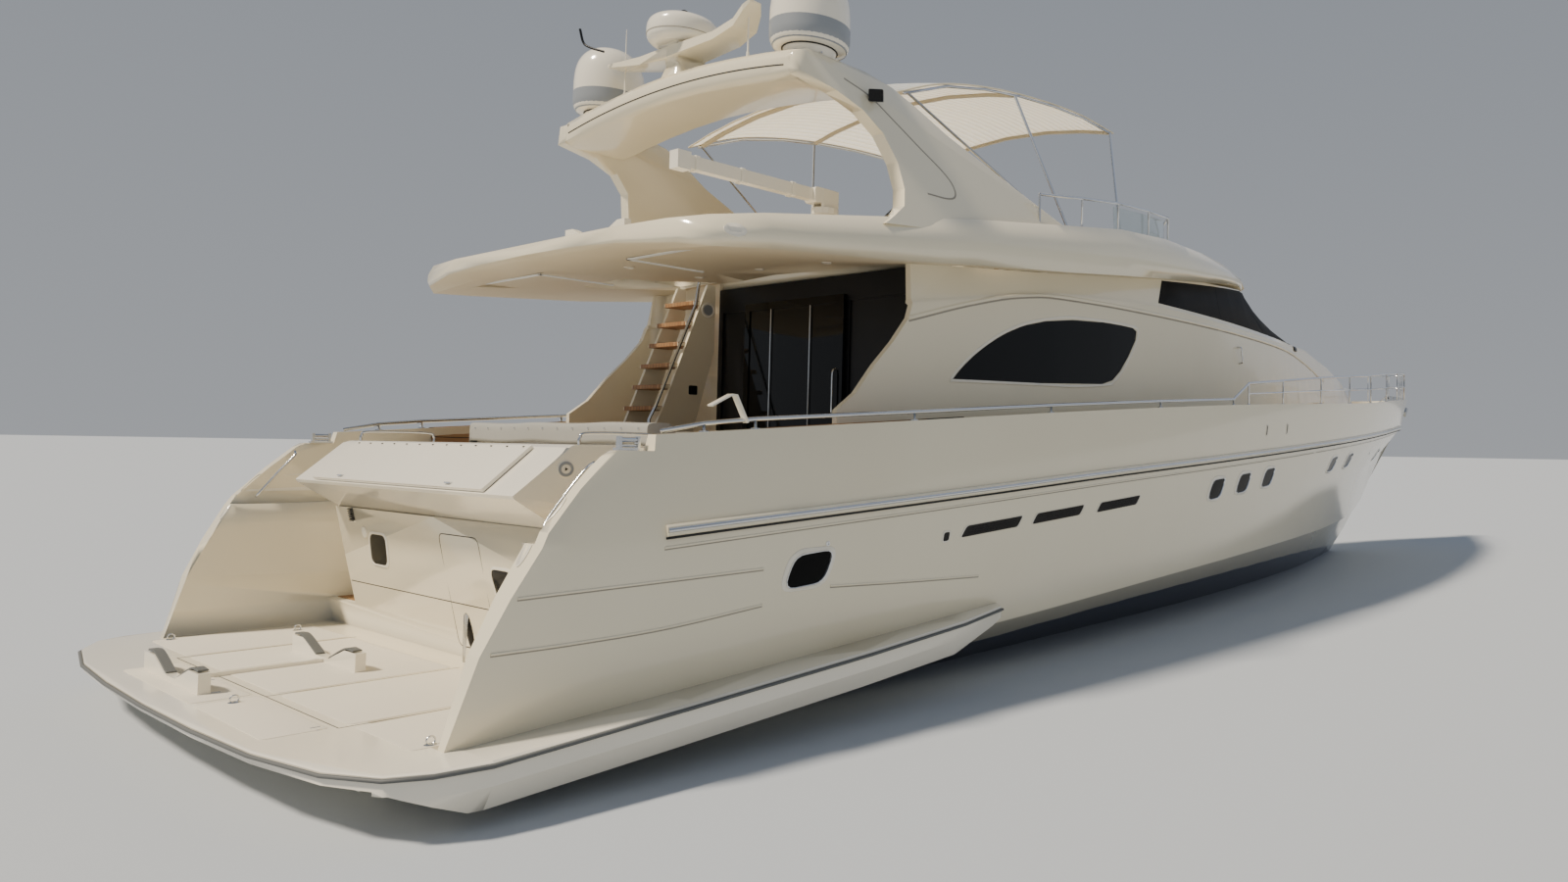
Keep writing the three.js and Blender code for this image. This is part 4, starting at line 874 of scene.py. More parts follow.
    def build(self) -> None:
        """Make the pieces of both sides."""
        for side in Side:
            name = side.name.lower()
            make_piece(f"hull_openings_{name}", self.openings(side),
                       (WHITE_GELCOAT, PORT_GLASS, SHADOW, STAINLESS))
            make_piece(f"air_slot_blades_{name}", self.louvres(side), (BLACK_FRAME,))
            make_piece(f"hull_mould_lines_{name}", self.seams(side), (GELCOAT, BEAD_SHADE))
            make_piece(f"skin_fittings_{name}", self.eyes(side), (STAINLESS,))
        make_piece("rub_rail_capped", self.rub_rail(), (GELCOAT, STAINLESS, RUBBER),
                   replaces=("rub_rail",))


@dataclass
class Platform:
    """Fittings on the swim platform: non-slip panels, hatch joints, lifting eyes, lift rings and
    chock pads. The cast's lines start 0.4 over its top, under the lid."""

    top: float = 0.40
    panel_rows: Rows = (
        (0.60, 1.72, -2.60, -1.78, 0.05), (0.60, 1.72, -1.70, -0.50, 0.05),
        (0.60, 1.72, -0.42, 1.52, 0.05), (0.60, 1.72, 1.60, 2.60, 0.05),
        (0.16, 0.50, -1.70, -0.42, 0.04), (0.16, 0.50, -0.34, 1.30, 0.04))
    eye_rows: Rows = ((0.42, 1.70), (0.35, -0.52), (2.0, 0.12), (0.72, -2.55), (0.72, 2.55),
                      (1.55, -2.3), (1.55, 2.3))
    grip_rows: Rows = ((0.45, 0.39), (0.36, -0.10), (0.45, -1.64), (1.9, -0.28))
    pad_rows: Rows = ((0.13, 0.443), (0.43, 0.550), (0.60, 0.553))
    cast: Cast = field(default_factory=lambda: Skin("swim_platform", "hull").level(0.8))

    def panels(self) -> Shape:
        """Non-slip panels a little proud, with plain margins between and round them."""
        return join(raised(self.cast, oblong(*row), ((0.0, -0.002), (0.0, 0.002), (-0.006, 0.004)))
                    for row in self.panel_rows)

    def hatch_lines(self) -> Shape:
        """Dark joints round the flush locker hatches."""
        lines = [((0.535, -1.74), (0.535, 1.56))] + [((0.535, y), (1.76, y))
                                                     for y in (-1.74, 1.56, -0.46)]
        return join(seam(self.cast, np.linspace(*line, 30), 0.007, 0.0018) for line in lines)

    def eyes(self) -> Shape:
        """Lifting eyes: a round plate with a standing ring on it."""
        plate = turned_shape([(0.0, 0.008), (0.030, 0.008), (0.036, 0.004), (0.037, 0.0)], sides=18)
        ring = np.insert(circle(0.024, 20), 1, 0, axis=1) + (0, 0, 0.028)
        eye = plate + tube(ring, 0.005, 8, closed=True)
        return join(eye.moved(x, y, self.top) for x, y in self.eye_rows)

    def grips(self) -> Shape:
        """Flush oval lift rings: a frame, a cup painted black as the shade inside it, and a bar
        across.
        """
        made = []
        for x, y in self.grip_rows:
            outline = circle(1.0, 20) * (0.034, 0.058) + (x, y)
            made.append(framed(self.cast, outline, ((0.006, -0.001), (0.005, 0.0035), (0.0, 0.0035),
                                                    (0.0, 0.0)), ((0.0, -0.001), (-0.002, 0.0012))))
            made.append(tube([(x + end, y + 0.01, self.top + 0.003) for end in (-0.026, 0.026)],
                             0.004, 8))
        return join(made)

    def chock_pads(self) -> Shape:
        """Rubber facings on the sloping faces of the platform's chocks."""
        section = np.array([(-0.032, 0.0), (-0.028, 0.012), (0.028, 0.012), (0.032, 0.0)])
        return join(carried(smooth([(x, 0.55 + way * y, z) for y, z in self.pad_rows], 16), section,
                            up=(0, 0, 1)) for x in (0.30, 1.21) for way in (-1, 1))

    def build(self) -> None:
        """Make the platform's pieces."""
        make_piece("platform_panels", self.panels(), (NON_SLIP,))
        make_piece("platform_hatch_joints", self.hatch_lines(), (SHADOW,))
        make_piece("platform_lifting_eyes", self.eyes(), (STAINLESS,))
        make_piece("platform_lift_rings", self.grips(), (STAINLESS, SHADOW))
        make_piece("platform_chock_pads", self.chock_pads(), (GREY_RUBBER,))


@dataclass
class Transom:
    """Trim of the transom wall, the locker lid, the steps and the side wings."""

    step_rise: float = 0.23
    step_going: float = 0.20
    foot_x: float = 1.95
    foot_z: float = 0.40
    step_sides: tuple[float, float] = (2.035, 2.665)
    lid_low: tuple[float, float] = (1.39, 1.80)
    lid_high: tuple[float, float] = (1.74, 2.13)
    wing_rail: Rows = ((1.30, 2.655, 1.62), (1.31, 2.60, 1.66), (1.45, 2.595, 1.86),
                       (1.56, 2.60, 2.00), (1.58, 2.655, 2.04))
    head_rail: Rows = ((1.86, 1.93, 2.150), (1.865, 1.93, 2.20), (1.93, 1.93, 2.235),
                       (2.40, 1.93, 2.235), (2.47, 1.93, 2.20), (2.475, 1.93, 2.150))
    cast: Cast = field(default_factory=lambda: Skin("hull").end_on(0.9))

    def wall(self) -> Shape:
        """Two portholes, an air grid, a long cover and two round covers on the transom wall."""
        made = []
        for y, z, lean in ((1.20, 1.20, -0.06), (-1.05, 1.06, 0.06)):
            made.append(framed(self.cast, slanted(0.34, 0.27, lean, 0.08, (y, z)),
                               ((0.03, -0.003), (0.026, 0.005), (0.008, 0.01), (0.0, 0.007),
                                (0.0, -0.003)), ((0.001, -0.003), (0.001, 0.003), (-0.04, 0.005))))
        made += [raised(self.cast, slanted(width, height, 0.0, 0.012, (y, z)),
                        ((0.0, -0.002), (0.0, 0.007), (-0.008, 0.011)))
                 for y, z, width, height in ((1.66, 1.50, 0.12, 0.16), (-1.50, 1.42, 0.14, 0.035))]
        made += [seam(self.cast, np.array([(1.615, z), (1.705, z)]), 0.012, 0.019).tagged(2)
                 for z in np.linspace(1.445, 1.555, 7)]
        made += [raised(self.cast, circle(0.045, 20) + place,
                        ((0.006, -0.002), (0.004, 0.008), (-0.012, 0.012)))
                 for place in ((-1.50, 1.30), (1.45, 1.34))]
        return join(made)

    def wall_seams(self) -> Shape:
        """Joint of the engine-room door in the wall, and the moulding's lower line."""
        line = np.linspace((-1.98, 0.86), (1.98, 0.86), 60)
        return (seam(self.cast, oblong(-0.72, -0.05, 0.50, 1.42, 0.07, 7), 0.008, 0.002, closed=True)
                + seam(self.cast, line, 0.008, 0.002))

    def handles(self) -> Shape:
        """Bent grab rails on both wings beside the steps, and on the transom unit's cheeks."""
        return both_sides(tube(self.wing_rail, 0.011, count=40)
                          + tube(self.head_rail, 0.011, count=44))

    def tread_pads(self) -> Shape:
        """Teak pads on the four steps of each side, each with a rounded outline."""
        made = []
        for k in range(4):
            z = self.foot_z + self.step_rise * (k + 1)
            aft = self.foot_x + self.step_going * k
            made.append(slab((aft + 0.022, self.step_sides[0], z - 0.004),
                             (aft + self.step_going - 0.012, self.step_sides[1], z + 0.007), 0.02))
        return both_sides(join(made))

    def up_slope(self, share: float, lift: float) -> Array:
        """X and Z of a place on the sloping lid, as a share of its length and a lift off it."""
        run = np.array(self.lid_high) - self.lid_low
        normal = np.array([-run[1], run[0]]) / np.linalg.norm(run)
        return self.lid_low + run * share + normal * lift

    def lid_details(self) -> Shape:
        """Snaps of the cover along the lid's head, and two flush latches at its foot."""
        x, z = self.up_slope(0.93, 0.030)
        snap = turned_shape([(0.0, 0.007), (0.008, 0.006), (0.010, 0.0)], (x, 0, z), 10).tagged(1)
        x, z = self.up_slope(0.12, 0.031)
        latch = slab((x - 0.025, -0.04, z - 0.006), (x + 0.025, 0.04, z + 0.005), 0.012)
        return join([snap.moved(y=y) for y in np.linspace(-1.48, 1.48, 13)]
                    + [latch.moved(y=y) for y in (-1.0, 1.0)])

    def round_covers(self) -> Shape:
        """Round ventilator covers on both cheeks of the transom unit and beside the steps."""
        plate = [(0.0, 0.006), (0.052, 0.006), (0.060, 0.003), (0.062, -0.002)]
        ring = [(0.032, 0.004), (0.035, 0.010), (0.051, 0.010), (0.055, 0.003)]
        knob = [(0.0, 0.012), (0.012, 0.011), (0.016, 0.005)]
        disc = (turned_shape(plate, sides=28) + turned_shape(ring, sides=28, hoop=True).tagged(1)
                + turned_shape(knob, sides=3).tagged(2)).turned(90, "X")
        return join(both_sides(disc.moved(x, -1.99, z)) for x, z in ((1.74, 1.98), (2.3, 1.86)))

    def wing_plates(self) -> Shape:
        """Oval step plates on the sloping edge of each side wing, laid on from aft."""
        return join(raised(self.cast, circle(1.0, 24) * (0.042, 0.085) + (side.value * 2.755, z),
                           ((0.0, -0.003), (0.0, 0.006), (-0.008, 0.009)))
                    for side in Side for z in (1.74, 1.50))

    def folded_bracket(self) -> Shape:
        """Flat bar folded down over the cap of the starboard bulwark: its path in X and Z, set off
        to both sides by half its thickness, runs across its width."""
        path = np.array([(2.32, 2.44), (2.48, 2.525), (2.52, 2.525), (2.62, 2.33)])
        off = 0.007 * slope(path, False)[:, ::-1] * (-1, 1)
        return prism(np.vstack((path + off, (path - off)[::-1])), -2.82, -2.76, "XZ")

    def build(self) -> None:
        """Make the transom's pieces."""
        make_piece("transom_wall_fittings", self.wall(), (WHITE_GELCOAT, PORT_GLASS, SHADOW))
        make_piece("transom_wall_joints", self.wall_seams(), (SHADOW,))
        make_piece("transom_grab_rails", self.handles(), (STAINLESS,))
        make_piece("step_tread_pads", self.tread_pads(), (TEAK_DECK,), bevel=0.003)
        make_piece("locker_lid_snaps", self.lid_details(), (STAINLESS, BLACK_FRAME),
                   body="locker_lid")
        make_piece("round_vent_covers", self.round_covers(), (WHITE_GELCOAT, DOME_GREY, SHADOW))
        make_piece("wing_step_plates", self.wing_plates(), (WHITE_GELCOAT,))
        make_piece("folded_flag_bracket", self.folded_bracket(), (WHITE_GELCOAT,), bevel=0.002)


@dataclass
class Decks:
    """Teak on the side decks, the cockpit sole and the foredeck, laid between what stands there."""

    thick: float = 0.006
    gap: float = 0.03
    foot: float = 0.09
    walk_rows: Rows = ((4.15, 2.54), (8.0, 2.58), (12.0, 2.41), (14.0, 2.22), (16.0, 1.96),
                       (18.0, 1.64), (19.5, 1.32), (20.2, 1.14))
    hull: Skin = field(default_factory=lambda: Skin("hull"))
    house: Skin = field(default_factory=lambda: Skin("deckhouse"))

    def across(self, x: Array, middle: Array, way: int, skin: Skin) -> Array:
        """Y where a level line from the walkway, a little above the deck, meets a skin."""
        deck = self.hull.level()(np.stack((x, middle), axis=-1))[0]
        return skin.meet(deck + (0, 0, self.foot), (0, way, 0))[0][:, 1]

    def strip(self, x: Array, inner: Array, outer: Array, columns: int = 8) -> Shape:
        """Sheet of planking between two edges.

        At each X, Y runs evenly from inner to outer, and Z is the deck's own height there, plus
        the thickness on top and less a little below.

        Args:
            x: Places along the yacht.
            inner: Y of one edge at each place.
            outer: Y of the other edge.
            columns: Places across.

        Returns:
            The solid.
        """
        y = inner[:, None] + (outer - inner)[:, None] * np.linspace(0, 1, columns)
        pairs = np.stack((np.repeat(x, columns), y.ravel()), axis=-1)
        top = self.hull.level()(pairs)[0].reshape(len(x), columns, 3)
        rings = np.concatenate((top + (0, 0, self.thick), top[:, ::-1] - (0, 0, self.thick)), axis=1)
        return grid(rings, ends=True)

    def side_decks(self) -> Shape:
        """Both walkways, from the house's side to the bulwark."""
        x, middle = smooth(self.walk_rows, 54).T
        inner = self.across(x, middle, -1, self.house) + self.gap
        outer = self.across(x, middle, 1, self.hull) - self.gap
        return both_sides(self.strip(x, inner, outer))

    def open_deck(self, aft: float, fore: float, middle: float, count: int) -> Shape:
        """Planking over the whole breadth between two X, from bulwark to bulwark."""
        x = np.linspace(aft, fore, count)
        outer = self.across(x, np.full(count, middle), 1, self.hull) - self.gap
        return self.strip(x, -outer, outer, 14)

    def build(self) -> None:
        """Lay the three areas."""
        make_piece("side_deck_planking", self.side_decks(), (TEAK_DECK,))
        make_piece("cockpit_planking", self.open_deck(2.775, 4.84, 2.3, 12), (TEAK_DECK,))
        make_piece("foredeck_planking", self.open_deck(20.42, 23.3, 0.3, 16), (TEAK_DECK,))


def make_sheet(name: str, points: Array, finish: Finish,
               replaces: Sequence[str] = ()) -> None:
    """Args:
        name: Name of the piece.
        points: Rows by columns by three; it is cloth of one layer.
        finish: Its cloth.
        replaces: CAD nodes that it stands for.
    """
    surface = grid(points, columns_close=False)
    made = make_piece(name, surface, (finish,), replaces=replaces, sharp=60)
    thicken(made, 0.0016)


def pillow(low: Numbers, high: Numbers, crown: float = 0.02, pull: float = 0.03,
           radius: float = 0.05) -> Shape:
    """Cushion between two corners, crowned on top, whose sides pull in between its corners.

    Ring k is the rounded outline scaled by a share s and set at a height: the underside, the side
    and the top, which rises by crown times one less s squared. A point at a, b of the half sizes
    moves inwards by pull times one less the square of the other.

    Args:
        low: Lowest corner.
        high: Highest corner.
        crown: How much higher the middle of the top is than its rim.
        pull: Share of the half size that the middle of each side draws in.
        radius: Round of the outline's corners.

    Returns:
        The closed cushion.
    """
    low, high = np.array(low, float), np.array(high, float)
    half = (high - low)[:2] / 2
    outline = oblong(-half[0], half[0], -half[1], half[1], radius, 6)
    share = np.abs(outline / half)[:, ::-1]
    outline = outline * (1 - pull * (1 - np.clip(share, 0, 1) ** 2))
    scale = np.array([0.05, 0.6, 0.9, 0.975, 1.0, 0.995, 1.0, 0.975, 0.9, 0.6, 0.3, 0.05])
    level = np.array([0.0, 0.0, 0.0, 0.04, 0.16, 0.5, 0.84, 0.96, 1.0, 1.0, 1.0, 1.0])
    rise = np.where(level > 0.9, crown * (1 - scale ** 2), 0)
    rings = np.empty((len(scale), len(outline), 3))
    rings[:, :, :2] = outline * scale[:, None, None] + (low + high)[:2] / 2
    rings[:, :, 2] = (low[2] + level * (high[2] - low[2] - crown) + rise)[:, None]
    return grid(rings, ends=True)


def make_padded(name: str, shape: Shape, finish: Finish, replaces: Sequence[str],
                voxel: float = 0.03, cap: float = 0.016) -> Object:
    """Args:
        name: Name of the piece.
        shape: Closed cushions, a little smaller than they end.
        finish: Their cover.
        replaces: CAD nodes that they stand for.
        voxel: Mesh size for the cloth.
        cap: Furthest that a point may move.

    Returns:
        The object.
    """
    made = make_piece(name, shape, (finish,), replaces=replaces, sharp=180)
    even = made.modifiers.new("even_mesh", "REMESH")
    even.mode, even.voxel_size, even.use_smooth_shade = "VOXEL", voxel, True
    bake(made)
    swell(made, cap)
    finer = made.modifiers.new("finer", "SUBSURF")
    finer.levels = finer.render_levels = 1
    return made


def bake(made: Object) -> None:
    """Put the shape that the modifiers give into the mesh, and take the modifiers off."""
    graph = bpy.context.evaluated_depsgraph_get()
    shaped = bpy.data.meshes.new_from_object(made.evaluated_get(graph), depsgraph=graph)
    kept = list(made.data.materials)
    made.modifiers.clear()
    made.data = shaped
    made.data.materials.clear()
    for material in kept:
        made.data.materials.append(material)
    made.data.shade_smooth()


def places_of(mesh: bpy.types.Mesh) -> Array:
    """The mesh's points as rows."""
    flat = np.empty(len(mesh.vertices) * 3)
    mesh.vertices.foreach_get("co", flat)
    return flat.reshape(-1, 3)


def swell(made: Object, cap: float, frames: int = 20) -> None:
    """Blow a closed mesh up as cloth with no gravity, with each point's way cut to the cap."""
    before = places_of(made.data)
    cloth = made.modifiers.new("swell", "CLOTH")
    cloth.settings.use_pressure = True
    cloth.settings.uniform_pressure_force = 4.0
    cloth.settings.effector_weights.gravity = 0.0
    cloth.settings.quality = 4
    cloth.point_cache.frame_start, cloth.point_cache.frame_end = 1, frames
    scene = bpy.context.scene
    for number in range(1, frames + 1):
        scene.frame_set(number)
    graph = bpy.context.evaluated_depsgraph_get()
    way = places_of(made.evaluated_get(graph).data) - before
    span = np.linalg.norm(way, axis=1, keepdims=True)
    kept = before + way * np.minimum(1.0, cap / np.maximum(span, MERGE))
    made.modifiers.clear()
    made.data.vertices.foreach_set("co", kept.ravel())
    made.data.update()
    scene.frame_set(1)


@dataclass
class Cockpit:
    """Settee and table covers with their studs, stair trim, bulwark lockers and cleats."""

    seat_profile: Rows = (
        (2.625, 2.165), (2.622, 2.30), (2.66, 2.335), (2.80, 2.33), (2.86, 2.27), (2.95, 2.11),
        (3.05, 2.06), (3.22, 2.045), (3.272, 2.02), (3.278, 1.93), (3.283, 1.74))
    seat_span: tuple[float, float] = (-1.52, 1.52)
    seat_hem: float = 1.74
    table_profile: Rows = (
        (3.385, 2.12), (3.386, 2.20), (3.39, 2.262), (3.42, 2.272), (3.60, 2.270), (3.84, 2.270),
        (4.02, 2.272), (4.05, 2.262), (4.054, 2.20), (4.055, 2.12))
    table_span: tuple[float, float] = (-0.965, 0.365)
    table_hem: float = 2.12
    stud_rows: Rows = ((-90, 2.616, 2.285, -1.4, 1.4, 12), (90, 3.286, 1.78, -1.4, 1.4, 10),
                       (90, 4.058, 2.15, -0.9, 0.3, 5), (-90, 3.382, 2.15, -0.9, 0.3, 5))
    cleat_rows: Rows = ((3.35, 2.62), (12.7, 2.52), (22.9, 0.42))

    def cover(self, name: str, profile: Array, span: tuple[float, float], hem: float, drape: int,
              replaces: Sequence[str] = ()) -> None:
        """Fitted vinyl cover over a body of one profile, its flat width its area over its length.

        Over the span the profile runs along Y. Past each end the cloth turns down: Y stays and Z
        falls from the profile's to the hem by even shares. Shallow waves are added to Z.

        Args:
            name: Name of the piece.
            profile: Pairs of X and Z.
            span: Y of both ends.
            hem: Z of the hem.
            drape: Rows of cloth in each end.
            replaces: CAD nodes that it stands for.
        """
        low, high = span
        y = np.concatenate((np.full(drape, low - 0.004), np.linspace(low, high, 40),
                            np.full(drape, high + 0.004)))
        fall = np.linspace(1, 0, drape + 1)[:-1]
        fall = np.concatenate((fall, np.zeros(40), fall[::-1]))
        z = profile[None, :, 1] + fall[:, None] * (np.minimum(hem, profile[:, 1]) - profile[:, 1])
        x = np.broadcast_to(profile[None, :, 0], z.shape)
        wave = np.sin(5.2 * y)[:, None] * np.sin(9 * (x - MIDSHIP))
        sag = 0.007 * wave * (1 - fall)[:, None]
        points = np.stack((x, np.broadcast_to(y[:, None], z.shape), z + sag), axis=-1)
        make_sheet(name, points, GREY_COVER,
                   replaces)

    def covers(self) -> None:
        """Cover that hides the settee down to its plinth, and a smaller one over the table."""
        self.cover("cockpit_settee_cover", smooth(self.seat_profile, 48), self.seat_span,
                   self.seat_hem, 8, ("cockpit_settee",))
        self.cover("cockpit_table_cover", smooth(self.table_profile, 36), self.table_span,
                   self.table_hem, 5)

    def settee_plinth(self) -> Shape:
        """Moulded plinth and back that stand under the settee's cover."""
        return (slab((2.66, -1.48, 1.565), (3.24, 1.48, 1.985), 0.05)
                + slab((2.66, -1.48, 1.98), (2.80, 1.48, 2.27), 0.04))

    def cover_snaps(self) -> Shape:
        """Press studs of both covers, along the hems and the back's upper edge."""
        stud = turned_shape([(0.0, 0.005), (0.007, 0.004), (0.009, 0.0)], sides=10)
        return join(stud.turned(degrees, "Y").moved(x, y, z)
                    for degrees, x, z, low, high, count in self.stud_rows
                    for y in np.linspace(low, high, count))

    def stair_trim(self) -> Shape:
        """Teak casing round each tread."""
        tread = slab((3.842, 1.012, 1.579), (4.078, 1.578, 1.624), 0.02)
        return join(tread.moved(0.089 * k, 0, 0.236 * k) for k in range(1, 10))

    def stair_panel(self) -> Shape:
        """Round loudspeaker, its dark grille, and a switch plate on the stair's side panel."""
        ring = turned_shape([(0.0, 0.006), (0.062, 0.006), (0.072, 0.012), (0.082, 0.010),
                             (0.086, 0.0)], sides=28)
        grille = turned_shape([(0.0, 0.010), (0.058, 0.008), (0.060, 0.004)]).tagged(2)
        switch = (slab((4.60, 0.982, 2.71), (4.70, 0.991, 2.81), 0.015, "XZ")
                  + slab((4.625, 0.976, 2.735), (4.675, 0.983, 2.785), 0.01, "XZ"))
        return (ring + grille).turned(90, "X").moved(4.81, 0.991, 3.66) + switch.tagged(1)

    def side_lockers(self) -> Shape:
        """Long oval recess with a timber lining in each bulwark's inner face, and its rim."""
        hull, outline = Skin("hull"), slanted(0.80, 0.13, 0.0, 0.06, (3.55, 2.13), 1.5)
        return join(framed(hull.side_on(side, 2.2, 1), outline,
                           ((0.022, -0.003), (0.018, 0.008), (0.004, 0.010), (0.0, 0.006),
                            (0.0, -0.003)), ((0.001, -0.003), (0.001, 0.002), (-0.03, 0.003)))
                    for side in Side)

    def cleats(self) -> Shape:
        """Horn cleats on the deck by the bulwarks: two posts under a bar with upturned ends."""
        horn = tube(((-0.13, 0, 0.072), (-0.08, 0, 0.060), (0, 0, 0.058), (0.08, 0, 0.060),
                     (0.13, 0, 0.072)), 0.012, count=24)
        post = [(0.024, -0.008), (0.020, 0.006), (0.013, 0.02), (0.013, 0.058)]
        posts = join(turned_shape(post, (x, 0, 0), 14) for x in (-0.045, 0.045))
        cleat = horn + posts + slab((-0.085, -0.03, -0.01), (0.085, 0.03, 0.006), 0.02)
        places = np.array([(x, side.value * y) for side in Side for x, y in self.cleat_rows])
        return join(cleat.moved(*place).moved(z=0.006) for place in Skin("hull").level()(places)[0])

    def build(self) -> None:
        """Make the cockpit's pieces."""
        make_piece("cockpit_settee_plinth", self.settee_plinth(), (WHITE_GELCOAT,), bevel=0.012)
        self.covers()
        make_piece("cover_press_studs", self.cover_snaps(), (STAINLESS,))
        make_piece("stair_treads", self.stair_trim(), (TEAK_DECK,), bevel=0.003)
        make_piece("stair_panel_fittings", self.stair_panel(),
                   (WHITE_GELCOAT, BLACK_FRAME, DOME_GREY))
        make_piece("bulwark_locker_recesses", self.side_lockers(), (GELCOAT, TEAK_TABLE))
        make_piece("horn_cleats", self.cleats(), (STAINLESS,))


@dataclass
class Deckhouse:
    """Trim of the deckhouse: screen cover, moulded lines, window rims, handles and lamps."""

    line_rows: Rows = ((4.75, 3.37), (5.6, 3.62), (6.4, 3.80), (7.27, 3.88), (9.57, 3.93),
                       (13.74, 3.95), (15.4, 3.84), (16.8, 3.60))
    low_rows: Rows = ((5.2, 2.30), (8.0, 2.50), (11.0, 2.72), (14.0, 2.98), (16.4, 3.16))
    window_rows: Rows = (
        (5.33, 2.83), (5.50, 2.99), (5.75, 3.17), (6.08, 3.35), (6.42, 3.48), (6.80, 3.57),
        (7.30, 3.64), (7.98, 3.685), (8.56, 3.69), (8.66, 3.65), (8.64, 3.54), (8.48, 3.33),
        (8.29, 3.13), (8.12, 3.01), (7.90, 2.95), (6.60, 2.88))
    handle_rows: Rows = ((11.74, 3.50), (11.74, 3.52), (11.72, 3.62), (11.70, 3.72), (11.70, 3.74))
    stitch_rows: Rows = ((11.2, 4.14, 4.55), (13.2, 4.14, 4.74))
    cover_lift: float = 0.009
    wheelhouse_x: float = 13.6
    wheelhouse_z: float = 3.3
    house: Skin = field(default_factory=lambda: Skin("deckhouse", "windscreen"))

    def screen_cover(self) -> Object:
        """Shade cover on the wraparound screen: the glass's outer faces, lifted off along their
        normals and given a thickness. A face is an outer one where its normal points away from the
        wheelhouse's middle line."""
        solid = bmesh.new()
        solid.from_mesh(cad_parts["windscreen"].data)
        bmesh.ops.remove_doubles(solid, verts=solid.verts, dist=1e-4)
        bmesh.ops.recalc_face_normals(solid, faces=solid.faces)
        inner = []
        for face in solid.faces:
            middle = face.calc_center_median()
            core = (min(middle.x, self.wheelhouse_x - MIDSHIP), 0, self.wheelhouse_z)
            if face.normal.dot((middle - Vector(core)).normalized()) < 0.3:
                inner.append(face)
        bmesh.ops.delete(solid, geom=inner, context="FACES")
        solid.normal_update()
        for point in solid.verts:
            point.co += point.normal * self.cover_lift
        mesh = bpy.data.meshes.new("screen_cover")
        solid.to_mesh(mesh)
        area = sum(face.calc_area() for face in solid.faces)
        solid.free()
        mesh.shade_smooth()
        mesh.set_sharp_from_angle(angle=math.radians(50))
        made = put("screen_cover", mesh)
        thicken(made, 0.0015)
        settle(made, (SHADE_MESH,))
        return made

    def mould_lines(self) -> Shape:
        """Bead along the house's side under the roof, and a lower one that follows the side deck,
        each over a grey line of painted shadow."""
        lines = ((smooth(self.line_rows, 80), 0.040), (smooth(self.low_rows, 60), 0.022))
        return join(seam(cast, line, width, width / 3)
                    + seam(cast, line - (0, width * 0.72), width / 2, 0.003).tagged(1)
                    for cast in map(self.house.side_on, Side) for line, width in lines)

    def grab_handles(self) -> Shape:
        """Upright steel grab handle on each side of the house, abreast of the screen."""
        made = []
        for cast in map(self.house.side_on, Side):
            places, normals = cast(np.array(self.handle_rows))
            out = places + normals * 0.06
            made.append(tube(np.vstack((places[:1], out[1:-1], places[-1:])), 0.013, count=40))
        return join(made)

    def window_rims(self) -> Shape:
        """Moulded rim round each side window, just outside the glass."""
        line = smooth(self.window_rows + self.window_rows[:1], 150)[:-1]
        line = line + unit(line - line.mean(axis=0)) * 0.028
        return join(seam(cast, line, 0.034, 0.010, closed=True)
                    for cast in map(self.house.side_on, Side))

    def door_handle(self) -> Shape:
        """Upright steel handle on the sliding door, and its lock plate."""
        bar = tube([(4.918 - out, -1.03, z) for out, z in
                    ((0, 2.45), (0.035, 2.49), (0.038, 2.7), (0.035, 2.91), (0, 2.95))],
                   0.010, count=40)
        return bar + slab((4.914, -1.055, 2.30), (4.920, -1.005, 2.40), 0.01)

    def glass_bars(self) -> Shape:
        """Two slim upright bars on the door's glass."""
        return join(tube(((4.916, y, 1.78), (4.916, y, 3.62)), 0.005, 6) for y in (-0.62, 0.02))

    def side_lamps(self) -> Shape:
        """Navigation lamps: a dark housing on each side of the house."""
        return join(raised(cast, oblong(14.82, 14.98, 3.985, 4.055, 0.02),
                           ((0.012, -0.01), (0.010, 0.016), (0.0, 0.022), (-0.02, 0.024)))
                    for cast in map(self.house.side_on, Side))

    def build(self) -> None:
        """Make the deckhouse's pieces."""
        skin = Skin(self.screen_cover())
        stitches = join(seam(skin.side_on(side), smooth(((x, low), (x, high)), 16), 0.02, 0.004)
                        for side in Side for x, low, high in self.stitch_rows)
        make_piece("screen_cover_seams", stitches, (SHADE_MESH,))
        make_piece("house_mould_lines", self.mould_lines(), (GELCOAT, BEAD_SHADE))
        make_piece("house_grab_handles", self.grab_handles(), (STAINLESS,))
        make_piece("side_window_rims", self.window_rims(), (WHITE_GELCOAT,))
        make_piece("door_handle", self.door_handle(), (STAINLESS,), body="saloon_door")
        make_piece("door_edge_trim", self.glass_bars(), (STAINLESS,), body="saloon_door")
        make_piece("side_lamps", self.side_lamps(), (BLACK_FRAME,))


